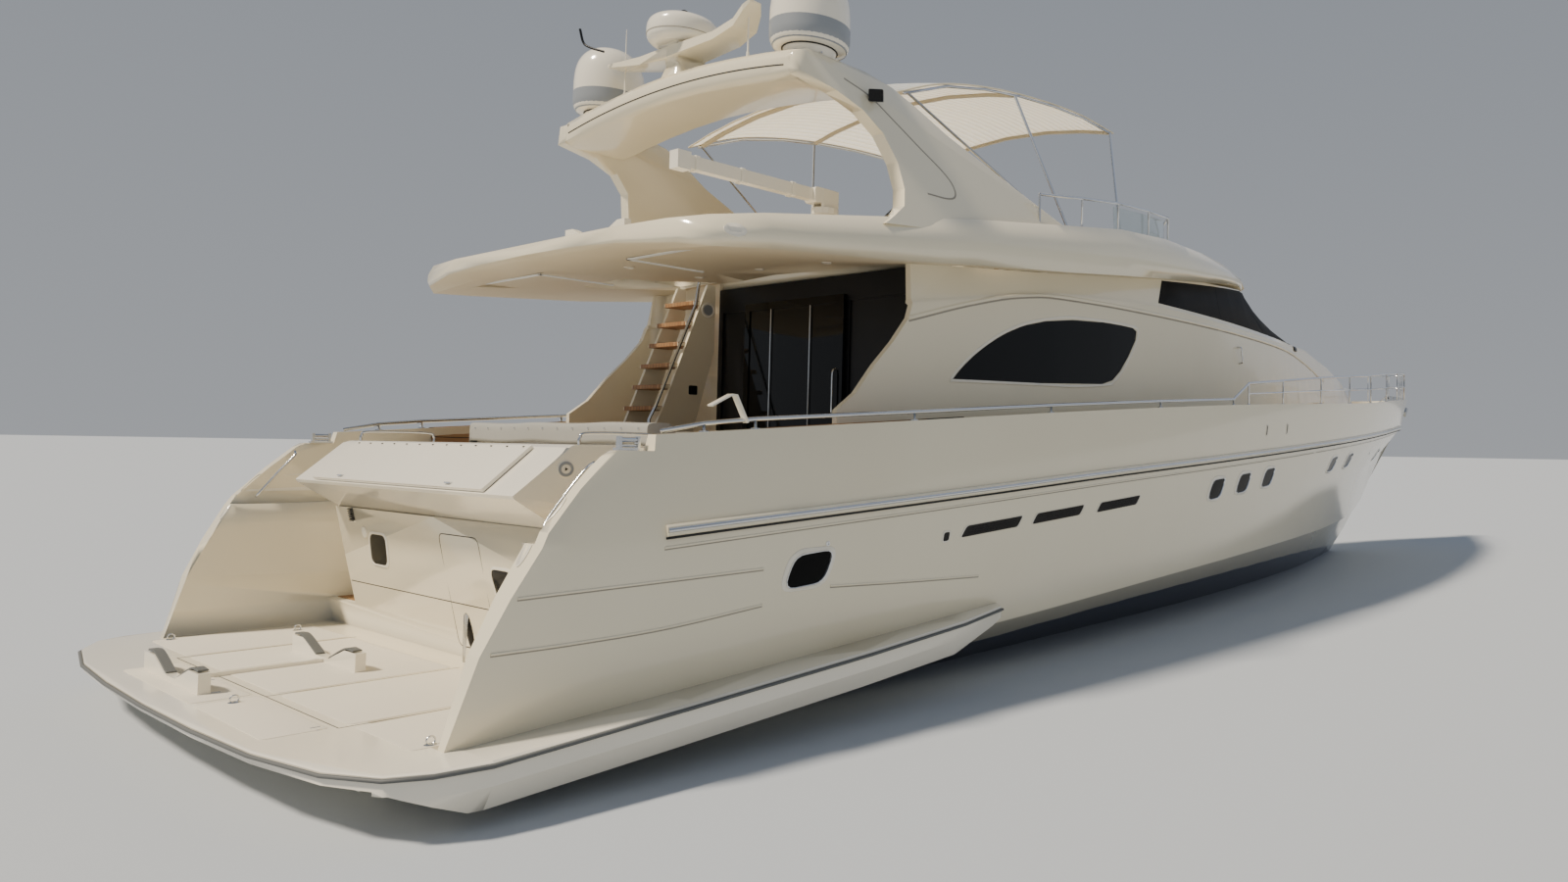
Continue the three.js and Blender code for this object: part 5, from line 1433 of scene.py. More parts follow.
@dataclass
class Flybridge:
    """Flybridge fittings: seats and cushions, helm instruments, roof vents and rail feet."""

    roof_rows: Rows = (
        (2.35, 1.5, 3.86), (2.6, 2.43, 3.905), (3.0, 2.54, 3.98), (4.2, 2.6, 4.18),
        (5.3, 2.6, 4.37), (6.9, 2.57, 4.61), (8.0, 2.51, 4.78), (9.2, 2.38, 4.89),
        (10.5, 2.18, 4.94), (11.5, 1.96, 4.96))
    post_rows: tuple[float, ...] = (6.5, 7.3, 8.1, 8.9, 9.5)
    coaming: float = 0.23
    sole: float = 3.962
    seat_foot: float = 4.24
    seat_top: float = 4.372
    back_z: float = 4.56
    toe_plan: Rows = ((6.02, 0.98), (7.16, 0.98), (7.16, 0.46), (7.78, 0.46), (7.78, 1.88),
                      (6.02, 1.88))
    seat_plan: Rows = ((6.0, 0.91), (7.1, 0.91), (7.1, 0.41), (7.8, 0.41), (7.8, 1.9), (6.0, 1.9))
    seat_rows: Rows = ((6.03, 6.78, 0.93, 1.72), (6.80, 7.60, 0.93, 1.72), (7.12, 7.60, 0.43, 0.91))
    side_backs: Rows = ((6.03, 6.78), (6.80, 7.60))
    fore_backs: Rows = ((0.44, 1.07), (1.09, 1.72))
    helm_y: tuple[float, float] = (-0.85, -0.28)
    dash_foot: tuple[float, float, float] = (8.56, 0, 4.56)
    dash_head: tuple[float, float, float] = (8.76, 0, 4.88)
    lamp_rows: Rows = ((3.3, 0.0), (4.3, -0.6), (4.3, 0.4), (4.3, -1.6))
    boat_deck: Rows = ((2.80, -1.95), (2.80, 1.95), (3.62, 1.95), (3.62, 0.80), (4.90, 0.80),
                       (4.90, -1.95))
    sole_plan: Rows = ((5.25, -1.80), (5.25, 1.80), (9.10, 1.60), (9.10, -1.60))
    brow_plans: tuple[Rows, ...] = (((10.9, 0.06), (10.9, 1.25), (12.2, 1.02), (12.2, 0.06)),
                                    ((12.3, 0.06), (12.3, 1.00), (13.5, 0.62), (13.5, 0.06)))
    walk_plan: Rows = ((18.62, 0.04), (18.62, 0.55), (19.55, 0.40), (19.55, 0.04))

    def settee_base(self) -> Shape:
        """Moulded plinth of the corner settee with a toe recess, and the shell behind its backs."""
        return (prism(rounded(self.toe_plan, 0.04), self.sole, self.sole + 0.10)
                + prism(rounded(self.seat_plan, 0.06), self.sole + 0.09, self.seat_foot)
                + slab((6.0, 1.865, 4.20), (7.8, 1.9, 4.74), 0.02, "XZ")
                + slab((7.765, 0.41, 4.20), (7.8, 1.9, 4.74), 0.012))

    def settee_cushions(self) -> Shape:
        """Seat cushions with crowned tops and upright back cushions round the corner."""
        made = [pillow((x0, y0, self.seat_foot), (x1, y1, self.seat_top), 0.025)
                for x0, x1, y0, y1 in self.seat_rows]
        for x0, x1 in self.side_backs:
            back = pillow((-(x1 - x0) / 2, -0.19, 0), ((x1 - x0) / 2, 0.19, 0.12), 0.03)
            made.append(back.turned(82, "X").moved((x0 + x1) / 2, 1.84, self.back_z))
        for y0, y1 in self.fore_backs:
            back = pillow((-0.19, -(y1 - y0) / 2, 0), (0.19, (y1 - y0) / 2, 0.12), 0.03)
            made.append(back.turned(-82, "Y").moved(7.74, (y0 + y1) / 2, self.back_z))
        return join(made)

    def helm_seat_frames(self) -> Shape:
        """Turned pedestals, a bridge between the seats, seat shells and armrests."""
        post = [(0.13, self.sole), (0.12, self.sole + 0.02), (0.06, self.sole + 0.05), (0.05, 4.10),
                (0.055, 4.36), (0.10, 4.40)]
        back = slab((-0.012, -0.245, 0), (0.012, 0.245, 0.60), 0.05, "YZ").turned(-4, "Y")
        arm = tube(((7.90, 0.235, 4.60), (8.0, 0.238, 4.70), (8.22, 0.238, 4.70),
                    (8.24, 0.235, 4.60)), 0.014, 8, count=24)
        seat = (turned_shape(post, (8.1, 0, 0), 20).tagged(1) + both_sides(arm).tagged(1)
                + slab((7.89, -0.25, 4.40), (8.29, 0.25, 4.43), 0.06) + back.moved(7.862, 0, 4.43))
        return (join(seat.moved(y=y) for y in self.helm_y)
                + slab((7.95, -0.62, 4.405), (8.25, -0.51, 4.43), 0.02))

    def helm_cushions(self) -> Shape:
        """Seat and back cushions of both helm seats."""
        back = pillow((-0.29, -0.225, 0), (0.29, 0.225, 0.075), radius=0.09).turned(94, "Y")
        seat = pillow((7.93, -0.225, 4.432), (8.27, 0.225, 4.535), radius=0.08)
        return join((seat + back.moved(7.878, 0, 4.77)).moved(y=y) for y in self.helm_y)

    def helm_instruments(self) -> Shape:
        """Two screens, four gauges, six switches and two throttle levers on the helm console."""
        foot = np.array(self.dash_foot)
        along = unit(self.dash_head - foot)
        turn = np.stack(((0, -1, 0), along, np.cross(along, (0, 1, 0))))

        def on_dash(shape: Shape, y: float, up: float) -> Shape:
            """Local X to starboard, Y up the sloping dash, Z off its face."""
            return Shape(shape.points @ turn + foot + along * up, shape.blocks,
                         shape.tags).moved(y=y)

        screen = (slab((-0.17, -0.105, -0.004), (0.17, 0.105, 0.014), 0.02)
                  + slab((-0.15, -0.088, 0.010), (0.15, 0.088, 0.017), 0.01).tagged(1))
        ring = turned_shape([(0.0, 0.008), (0.030, 0.008), (0.034, 0.016), (0.041, 0.012),
                             (0.042, -0.003)], sides=20)
        face = turned_shape([(0.0, 0.012), (0.028, 0.012), (0.029, 0.006)], sides=18).tagged(1)
        switch = slab((-0.011, -0.018, -0.002), (0.011, 0.018, 0.012), 0.005)
        made = [on_dash(screen, y, 0.22) for y in (-0.30, -0.72)]
        made += [on_dash(ring + face, y, 0.20) for y in (-1.05, -0.96, 0.02, 0.09)]
        made += [on_dash(switch, -0.94 - 0.028 * k, 0.08) for k in range(6)]
        made += [tube(((8.86, y, 4.90), (8.84, y, 4.98), (8.83, y, 5.0)), 0.007, 8, count=12)
                 .tagged(2) for y in (-0.06, 0.0)]
        return join(made)

    def rail_feet(self) -> Shape:
        """Round base plates under the flybridge rail's posts, on the coaming."""
        x, y, z = np.array(self.roof_rows).T
        places = np.stack((self.post_rows, np.interp(self.post_rows, x, y) - self.coaming,
                           np.interp(self.post_rows, x, z)), axis=-1)
        plate = [(0.0, 0.012), (0.022, 0.012), (0.034, 0.006), (0.037, -0.004)]
        return both_sides(join(turned_shape(plate, place, 16) for place in places))

    def roof_fittings(self) -> Shape:
        """Oval vents on the roof's sides, light strips and round lamps under its overhang."""
        roof = Skin("flybridge_moulding")
        vent = circle(1.0, 22) * (0.075, 0.042) + (2.72, 3.79)
        vents = join(raised(roof.side_on(side), vent, ((0.012, -0.003), (0.010, 0.006),
                                                       (-0.02, 0.010), (-0.03, 0.006)))
                     for side in Side)
        strips = both_sides(slab((2.84, 0.74, 3.742), (2.875, 1.86, 3.753), 0.01)
                            + slab((2.84, 0.74, 3.742), (3.58, 0.775, 3.753), 0.01)).tagged(1)
        lamp = [(0.0, -0.006), (0.030, -0.006), (0.040, -0.012), (0.046, -0.008), (0.046, 0.004)]
        places = roof.level(3.3, 1)(np.array(self.lamp_rows))[0]
        return vents + strips + join(turned_shape(lamp, place, 20) for place in places)

    def grip_panels(self) -> Shape:
        """Non-slip panels on the boat deck, the flybridge sole, the roof ahead and the coachroof."""
        rings = ((0.0, -0.003), (0.0, 0.002), (-0.008, 0.004))
        roof = Skin("flybridge_moulding").level()
        laid = [raised(roof, rounded(plan, 0.07, 7), rings) for plan in self.brow_plans]
        laid += [raised(Skin("deckhouse").level(), rounded(self.walk_plan, 0.06), rings)]
        return (prism(rounded(self.boat_deck, 0.08), 3.984, 3.989)
                + prism(rounded(self.sole_plan, 0.10), 3.959, 3.965) + both_sides(join(laid)))

    def build(self) -> None:
        """Make the flybridge's pieces."""
        make_piece("grip_panels", self.grip_panels(), (NON_SLIP,))
        make_piece("flybridge_settee_base", self.settee_base(), (WHITE_GELCOAT,), bevel=0.01)
        make_padded("flybridge_settee_cushions", self.settee_cushions(), UPHOLSTERY,
                    replaces=("flybridge_settee",))
        make_piece("helm_seat_frames", self.helm_seat_frames(), (WHITE_GELCOAT, STAINLESS),
                   bevel=0.004)
        make_padded("helm_seat_cushions", self.helm_cushions(), UPHOLSTERY,
                    replaces=("helm_seats",), voxel=0.018, cap=0.01)
        make_piece("helm_instruments", self.helm_instruments(), (BLACK_FRAME, DARK_GLASS, STAINLESS))
        make_piece("flybridge_rail_feet", self.rail_feet(), (STAINLESS,))
        make_piece("roof_vents_and_lamps", self.roof_fittings(), (WHITE_GELCOAT, LENS))


@dataclass
class Bimini:
    """Canopy of one sheet on its hoops, dipped between battens that run fore and aft."""

    rows: Rows = ((4.98, 5.85), (5.6, 6.12), (6.3, 6.30), (7.1, 6.42), (8.0, 6.48), (8.76, 6.44))
    half: float = 1.72
    fall: float = 0.21
    pitch: float = 0.1075
    dip: float = 0.006
    lift: float = 0.008
    hoops: tuple[float, ...] = (5.15, 6.8, 8.68)
    bends: tuple[float, ...] = (-1.72, -1.3, -0.7, 0.0, 0.7, 1.3, 1.72)
    foot_rows: Rows = ((7.05, 2.23, 4.61), (7.2, 2.23, 4.63), (8.25, 2.20, 4.79))

    def surface(self, across: int = 225, along: int = 44) -> Array:
        """Height is the middle line's at X, less fall times the square of Y's share of the half
        breadth, less a dip that follows the square of a sine between battens, plus the lift that
        keeps the cloth clear of the hoops."""
        run = smooth(self.rows, along)
        y = np.linspace(-self.half, self.half, across)
        z = (run[:, 1:] - self.fall * (y / self.half) ** 2
             - self.dip * np.sin(math.pi * y / self.pitch) ** 2 + self.lift)
        return np.stack((np.broadcast_to(run[:, :1], z.shape), np.broadcast_to(y, z.shape), z),
                        axis=-1)

    def hem(self) -> Shape:
        """Bound edge of the canopy, with the bolt rope in it."""
        points = self.surface(41, 40)
        loop = np.vstack((points[:, 0], points[-1, 1:], points[-2::-1, -1], points[0, -2:0:-1]))
        return tube(loop, 0.009, 8, closed=True)

    def hoop_sleeves(self) -> Shape:
        """Pockets of the same cloth that hold the hoops, zipped along the canopy's underside."""
        y = np.linspace(-self.half + 0.03, self.half - 0.03, 60)
        bends = np.array(self.bends)
        drop = np.interp(y, bends, self.fall * (bends / self.half) ** 2) + 0.018
        section = circle(1.0, 12) * (0.034, 0.021)
        return join(carried(np.stack((np.full(60, x), y, z - drop), axis=-1), section, up=(0, 0, 1))
                    for x, z in zip(self.hoops, np.interp(self.hoops, *np.array(self.rows).T)))

    def deck_hinges(self) -> Shape:
        """Feet of the hoops: a round plate and a pin."""
        plate = turned_shape([(0.0, 0.006), (0.03, 0.006), (0.034, -0.008)], sides=16)
        pin = turned_shape([(0.0, -0.024), (0.008, -0.024), (0.008, 0.024), (0.0, 0.024)],
                           (0, 0, 0.025), 10, "Y")
        return both_sides(join((plate + pin).moved(*place) for place in self.foot_rows))

    def build(self) -> None:
        """Make the canopy and its fittings."""
        points = self.surface()
        make_sheet("bimini_cloth", points, BATTENED,
                   replaces=("bimini_canopy",))
        make_piece("bimini_hem", self.hem(), (CANVAS,))
        make_piece("bimini_hoop_sleeves", self.hoop_sleeves(), (CANVAS,))
        make_piece("bimini_hinges", self.deck_hinges(), (STAINLESS,))


def bolt_ring(profile: Points, count: int, radius: float, height: float, sides: int,
              start: float = 0.0) -> Shape:
    """Bolt heads of one profile, evenly spread round a circle about the upright axis."""
    return join(turned_shape(profile, (radius * math.cos(angle), radius * math.sin(angle), height),
                             sides) for angle in angles(count) + start)


@dataclass
class Arch:
    """Fittings on the radar arch and its mast: dome and radome shells, the domes' bands and
    gaskets, lamps, aerials and moulded lines."""

    dome_x: float = 3.98
    dome_y: float = 1.68
    mast_x: float = 3.79
    dome_rows: Rows = (
        (0.215, 5.622), (0.225, 5.690), (0.240, 5.735), (0.318, 5.747), (0.338, 5.768),
        (0.349, 5.815), (0.351, 5.900), (0.352, 6.000), (0.349, 6.090), (0.339, 6.180),
        (0.318, 6.262), (0.282, 6.332), (0.236, 6.386), (0.180, 6.425), (0.110, 6.451),
        (0.050, 6.460), (0.0, 6.462))
    radome_rows: Rows = (
        (0.0, 6.060), (0.25, 6.060), (0.262, 6.062), (0.300, 6.078), (0.327, 6.105),
        (0.338, 6.150), (0.340, 6.195), (0.334, 6.245), (0.315, 6.288), (0.275, 6.323),
        (0.225, 6.340), (0.12, 6.350), (0.0, 6.352))
    tray_joint: Rows = ((0.336, 6.142), (0.3405, 6.144), (0.3405, 6.150), (0.336, 6.152))
    band_rows: Rows = ((0.3255, 5.747), (0.3505, 5.799), (0.3545, 5.86), (0.3548, 5.945),
                       (0.345, 5.945), (0.340, 5.80), (0.315, 5.747))
    gasket_rows: Rows = ((0.243, 5.722), (0.2475, 5.728), (0.2475, 5.738), (0.243, 5.742),
                         (0.235, 5.73))
    leg_rows: Rows = ((4.12, 5.47), (4.39, 5.38), (4.63, 5.20), (4.88, 5.00), (5.10, 4.83),
                      (5.20, 4.71), (5.20, 4.59), (5.08, 4.53), (4.80, 4.52))
    beam_z: float = 5.46
    beam_rise: float = 0.148
    beam_half: float = 1.88
    flood_place: tuple[float, float] = (4.42, 5.36)

    def shell(self, profile: Points, x: float, y: float) -> Shape:
        """Turn a profile of radius and height round an upright axis at X and Y, with all but its
        first three points run into one curve."""
        curve = np.vstack((profile[:3], smooth(profile[3:], 40)))
        return turned_shape(curve, (x, y, 0), 64)

    def radome_shell(self) -> Shape:
        """Scanner housing, and the joint round it between its tray and its lid."""
        joint = turned_shape(self.tray_joint, (self.mast_x, 0, 0), 64, hoop=True).tagged(1)
        return self.shell(self.radome_rows, self.mast_x, 0.0) + joint

    def dome_bands(self) -> Shape:
        """Grey lower band of each dome, worked out by turning its profile."""
        return both_sides(turned_shape(self.band_rows, (self.dome_x, self.dome_y, 0), 40,
                                       hoop=True))

    def dome_feet(self) -> Shape:
        """Black gasket and six bolt heads at the neck of each dome."""
        foot = (turned_shape(self.gasket_rows, sides=32, hoop=True)
                + bolt_ring([(0.0, 0.012), (0.010, 0.010), (0.012, -0.004)], 6, 0.228, 5.66, 8,
                            0.3).tagged(1))
        return join(foot.moved(self.dome_x, side.value * self.dome_y) for side in Side)

    def floodlights(self) -> Shape:
        """Square lamps on the legs' outer faces, turned aft: a finned body, a lens and a stalk."""
        body = slab((-0.045, -0.065, -0.055), (0.0, 0.065, 0.055), 0.012, "YZ")
        lens = slab((-0.052, -0.052, -0.042), (-0.044, 0.052, 0.042), 0.008, "YZ").tagged(1)
        fins = join(slab((0.0, y - 0.003, -0.045), (0.02, y + 0.003, 0.045), 0.002, "YZ")
                    for y in np.linspace(-0.05, 0.05, 7))
        stalk = tube(((0.01, 0, 0.0), (0.05, 0, 0.0), (0.09, 0, 0.0)), 0.012, 8, count=8).tagged(2)
        lamp = ((body + lens + fins).turned(-12, "Y") + stalk).turned(40)
        place, normal = Skin("radar_arch").side_on(Side.STARBOARD)(np.array([self.flood_place]))
        return both_sides(lamp.moved(*(place + normal * 0.055)[0]))

    def aerials(self) -> Shape:
        """Whip aerials on ratchet bases, a bent tube aerial, a positioning puck and a masthead
        lamp."""
        whip = [(0.014, 0.0), (0.014, 0.10), (0.008, 0.12), (0.006, 0.5), (0.003, 0.77), (0.0, 0.78)]
        base = [(0.03, 0.0), (0.028, 0.02), (0.016, 0.05), (0.016, 0.09)]
        aerial = turned_shape(base, sides=14).tagged(1) + turned_shape(whip, (0, 0, 0.08), 10)
        puck = [(0.0, 0.07), (0.035, 0.066), (0.05, 0.045), (0.052, 0.012), (0.03, 0.0)]
        stem = turned_shape([(0.012, -0.02), (0.012, 0.0)], sides=10).tagged(1)
        lamp = [(0.03, 0.0), (0.03, 0.025), (0.024, 0.03), (0.024, 0.075), (0.03, 0.08), (0.0, 0.095)]
        bend = ((3.62, 1.16, 6.22), (3.55, 1.30, 6.27), (3.52, 1.38, 6.33), (3.50, 1.42, 6.475))
        return (aerial.moved(3.78, 1.02, 5.62) + aerial.moved(3.78, -1.05, 5.61)
                + (turned_shape(puck, sides=20) + stem).moved(3.9, 0.75, 5.66)
                + turned_shape(lamp, (self.mast_x, 0.0, 6.352), 18).tagged(1)
                + tube(bend, 0.012, count=26).tagged(1))

    def panel_lines(self) -> Shape:
        """Moulded groove down each leg's outer face, and the line along the beam's lower edge,
        whose height is a parabola of Y. Both are coloured as painted shade: grey in the grooves,
        black along the beam."""
        arch = Skin("radar_arch")
        grooves = join(seam(arch.side_on(side), smooth(self.leg_rows, 90), 0.020, 0.003)
                       for side in Side)
        y = np.linspace(-1.8, 1.8, 50)
        z = self.beam_z + self.beam_rise * (1 - (y / self.beam_half) ** 2)
        return grooves.tagged(1) + seam(arch.end_on(2.5), np.stack((y, z), axis=-1), 0.012, 0.004)

    def build(self) -> None:
        """Make the arch's pieces."""
        for side in Side:
            name = side.name.lower()
            make_piece(f"dome_shell_{name}",
                       self.shell(self.dome_rows, self.dome_x, side.value * self.dome_y),
                       (WHITE_GELCOAT,), replaces=(f"satellite_dome_{name}",), sharp=50)
        make_piece("radome_shell", self.radome_shell(), (WHITE_GELCOAT, BEAD_SHADE),
                   replaces=("radome",), sharp=50)
        make_piece("dome_grey_bands", self.dome_bands(), (DOME_GREY,))
        make_piece("dome_gaskets", self.dome_feet(), (RUBBER, STAINLESS))
        make_piece("floodlights", self.floodlights(), (BLACK_FRAME, DARK_GLASS, STAINLESS))
        make_piece("aerials_and_lamps", self.aerials(), (WHITE_GELCOAT, BLACK_FRAME))
        make_piece("arch_painted_shade_lines", self.panel_lines(), (SHADOW, BEAD_SHADE))


@dataclass
class Crane:
    """Trim of the boat crane: bolted flange, winch housing, collars, sheave and hook."""

    x: float = 4.35
    y: float = -1.5

    def flange_bolts(self) -> Shape:
        """Bolt heads round the column's foot."""
        head = [(0.0, 0.016), (0.013, 0.014), (0.014, 0.0)]
        return bolt_ring(head, 10, 0.155, 4.028, 6).moved(self.x, self.y)

    def boom_parts(self) -> Shape:
        """Winch housing at the boom's root, collars along it, and the sheave with its hook."""
        root = slab((4.17, -0.075, 4.425), (4.425, 0.075, 4.565), 0.03, "XZ")
        collar = slab((-0.02, -0.052, 4.43), (0.02, 0.052, 4.56), 0.015, "YZ")
        wheel = turned_shape([(0.0, -0.03), (0.045, -0.03), (0.045, -0.02), (0.032, 0.0),
                              (0.045, 0.02), (0.045, 0.03), (0.0, 0.03)], (2.84, 0, 4.47), 20, "Y")
        hook = tube(((2.82, 0, 4.43), (2.82, 0, 4.425), (2.80, 0, 4.425)), 0.007, 8)
        return (root + join(collar.moved(x) for x in (3.95, 3.42, 2.98))
                + (wheel + hook).tagged(1)).moved(y=self.y)

    def build(self) -> None:
        """Make the crane's pieces."""
        make_piece("crane_flange_bolts", self.flange_bolts(), (STAINLESS,))
        make_piece("crane_boom_fittings", self.boom_parts(), (WHITE_GELCOAT, STAINLESS),
                   body="crane_boom", bevel=0.004)


@dataclass
class Foredeck:
    """Sun cushions, hatch pane, anchor chain, chain locker lids, bow rail feet and stem guard."""

    cushion_rows: Rows = ((16.74, 17.56, -0.70, -0.01), (16.74, 17.56, 0.01, 0.70),
                          (17.60, 18.42, -0.60, -0.01), (17.60, 18.42, 0.01, 0.60))
    cushion_round: float = 0.07
    cushion_rings: Rows = (
        (-0.28, -0.10), (-0.02, -0.10), (0.0, -0.085), (0.004, -0.05), (0.0, -0.016),
        (-0.012, -0.006), (-0.05, 0.0), (-0.16, 0.006), (-0.30, 0.008))
    lid_rows: Rows = ((22.05, 22.72, -0.40, -0.22), (22.05, 22.72, 0.22, 0.40))
    chain_rows: Rows = ((22.66, 3.27), (22.85, 3.36), (23.2, 3.52), (23.62, 3.645), (24.0, 3.648))
    rail_x: tuple[float, ...] = (2.3, 2.7, 4.2, 6.0, 8.0, 9.8, 10.25, 11.4, 13.0, 14.6, 16.2, 17.8,
                                 19.4, 21.0, 22.4, 23.5)
    cap_rows: Rows = (
        (0.7, 2.70), (4.0, 2.94), (6.0, 3.0), (8.0, 3.02), (10.0, 2.995), (12.0, 2.905),
        (14.0, 2.73), (16.0, 2.46), (18.0, 2.11), (20.0, 1.66), (23.0, 0.68), (24.5, 0.02))
    cap_inset: float = 0.055

    def sun_cushions(self) -> Shape:
        """Four cushions moulded to the coachroof: rings of each outline laid on the pad's own
        top."""
        pad = Skin("foredeck_sunpad").level()
        return join(raised(pad, oblong(*row, self.cushion_round), self.cushion_rings)
                    for row in self.cushion_rows)

    def cushion_piping(self, cushions: Object) -> Shape:
        """Sewn welt round the top of each cushion, and two sewn channels across it."""
        top = Skin(cushions).level()
        made = []
        for x0, x1, y0, y1 in self.cushion_rows:
            outline = oblong(x0, x1, y0, y1, self.cushion_round, 8)
            middle = outline.mean(axis=0)
            made.append(seam(top, middle + (outline - middle) * 0.925, 0.012, 0.006, closed=True))
            for share in (0.34, 0.67):
                x = x0 + (x1 - x0) * share
                made.append(seam(top, np.linspace((x, y0 + 0.05), (x, y1 - 0.05), 24), 0.007,
                                 0.0035))
        return join(made)

    def hatch_pane(self) -> Shape:
        """Smoked pane in the foredeck hatch, with its two dogs."""
        hatch = Skin("foredeck_hatch").level()
        pane = raised(hatch, oblong(21.06, 21.54, -0.22, 0.22, 0.07, 7),
                      ((0.0, -0.002), (0.0, 0.003), (-0.012, 0.006), (-0.10, 0.009)))
        dogs = join(raised(hatch, circle(0.016, 12) + (21.5, y),
                           ((0.0, 0.004), (0.0, 0.018), (-0.008, 0.021))) for y in (-0.12, 0.12))
        return pane + dogs.tagged(1)

    def chain(self) -> Shape:
        """Anchor chain from the windlass to the roller: oval links, each turned a quarter."""
        flat = np.insert(circle(1.0, 12) * (0.030, 0.017), 2, 0, axis=1)
        links = [tube(turned, 0.0055, 6, closed=True) for turned in (flat, flat[:, (0, 2, 1)])]
        return join(links[k % 2].moved(x, 0, z)
                    for k, (x, z) in enumerate(smooth(self.chain_rows, 26)))

    def locker_lids(self) -> Shape:
        """Two low lids over the chain locker."""
        hull = Skin("hull").level()
        return join(raised(hull, oblong(*row, 0.04), ((0.0, -0.002), (0.0, 0.012), (-0.008, 0.016)))
                    for row in self.lid_rows)

    def rail_feet(self) -> Shape:
        """Round base plates of the bulwark rail's posts, on the cap."""
        y = np.interp(self.rail_x, *np.array(self.cap_rows).T) - self.cap_inset
        places = Skin("hull").level()(np.stack((self.rail_x, y), axis=-1))[0]
        plate = [(0.0, 0.010), (0.022, 0.010), (0.033, 0.005), (0.036, -0.006)]
        return both_sides(join(turned_shape(plate, place, 14) for place in places))

    def stem_guard(self) -> Shape:
        """Steel guard down the stem under the bow roller, carried along the hull's own edge."""
        starts = np.linspace((26.0, 0, 1.3), (26.0, 0, 3.35), 30)
        section = np.array([(-0.045, -0.02), (-0.03, 0.004), (0.0, 0.012), (0.03, 0.004),
                            (0.045, -0.02)])
        return carried(Skin("hull").meet(starts, (-1, 0, 0))[0], section, up=(1, 0, 0))

    def build(self) -> None:
        """Make the foredeck's pieces."""
        cushions = make_padded("sun_cushions", self.sun_cushions(), SUN_CANVAS,
                               replaces=("foredeck_sunpad",), voxel=0.03, cap=0.014)
        make_piece("sun_cushion_piping", self.cushion_piping(cushions), (SUN_CANVAS,))
        make_piece("hatch_pane", self.hatch_pane(), (DARK_GLASS, STAINLESS), body="foredeck_hatch")
        make_piece("anchor_chain", self.chain(), (STAINLESS,))
        make_piece("chain_locker_lids", self.locker_lids(), (GELCOAT,))
        make_piece("bulwark_rail_feet", self.rail_feet(), (STAINLESS,))
        make_piece("stem_guard", self.stem_guard(), (STAINLESS,))


@dataclass
class Underwater:
    """Fittings below the waterline: bow thruster tunnel mouths, anodes and intakes."""

    skin: Skin = field(default_factory=lambda: Skin("hull"))

    def build(self) -> None:
        """Lay them on the hull's sides."""
        mouth = circle(1.0, 24) * (0.16, 0.13) + (17.6, -0.24)
        anode = slanted(0.30, 0.08, 0.0, 0.035, (8.8, -0.30))
        intake = slanted(0.16, 0.10, 0.0, 0.045, (6.6, -0.28))
        made = []
        for cast in map(self.skin.side_on, Side):
            # Each tunnel mouth: a frame round a black disc, painted shade of the tunnel inside.
            made += [framed(cast, mouth, ((0.03, -0.004), (0.022, 0.012), (0.0, 0.010),
                                          (-0.03, -0.01)),
                            ((0.0, -0.006), (0.0, 0.002), (-0.02, 0.003))),
                     raised(cast, anode, ((0.0, -0.002), (-0.004, 0.022), (-0.02, 0.028))).tagged(2),
                     raised(cast, intake, ((0.0, -0.002), (-0.004, 0.018), (-0.02, 0.024)))]
        make_piece("underwater_fittings", join(made), (BRONZE, SHADOW, ZINC))


@dataclass
class Saloon:
    """Sofa and the valance seen through the glass."""

    sofa_x: tuple[float, float] = (5.62, 8.78)
    valance_x: float = 5.09
    pleat: float = 0.11
    pleat_deep: float = 0.016

    def sofa_cushions(self) -> Shape:
        """Seats and backs of the sofa along the starboard side."""
        back = pillow((-0.49, -0.16, 0), (0.49, 0.16, 0.13), 0.03).turned(-82, "X")
        place = pillow((0, -1.76, 1.97), (1.0, -1.28, 2.09)) + back.moved(0.5, -1.91, 2.22)
        return join(place.moved(x) for x in np.linspace(5.64, 7.76, 3))

    def sofa_base(self) -> Shape:
        """Timber plinth and back frame of the sofa."""
        aft, fore = self.sofa_x
        return (slab((aft, -1.93, 1.645), (fore, -1.27, 1.96), 0.04)
                + slab((aft, -1.945, 1.95), (fore, -1.915, 2.38), 0.02, "XZ"))

    def pelmet(self) -> None:
        """Pleated valance hung behind the aft glass: X follows a wave along Y."""
        y, z = np.meshgrid(np.linspace(-2.0, 0.86, 230), np.linspace(3.66, 3.34, 8))
        x = self.valance_x + self.pleat_deep * np.sin(y * math.tau / self.pleat)
        points = np.stack((x, y, z), axis=-1)
        make_sheet("aft_window_valance", points, VALANCE)

    def build(self) -> None:
        """Make the saloon's pieces."""
        make_piece("sofa_base", self.sofa_base(), (TEAK_TABLE,), bevel=0.008)
        make_padded("sofa_cushions", self.sofa_cushions(), SALOON_LEATHER,
                    replaces=("saloon_sofa",), voxel=0.035, cap=0.012)
        self.pelmet()


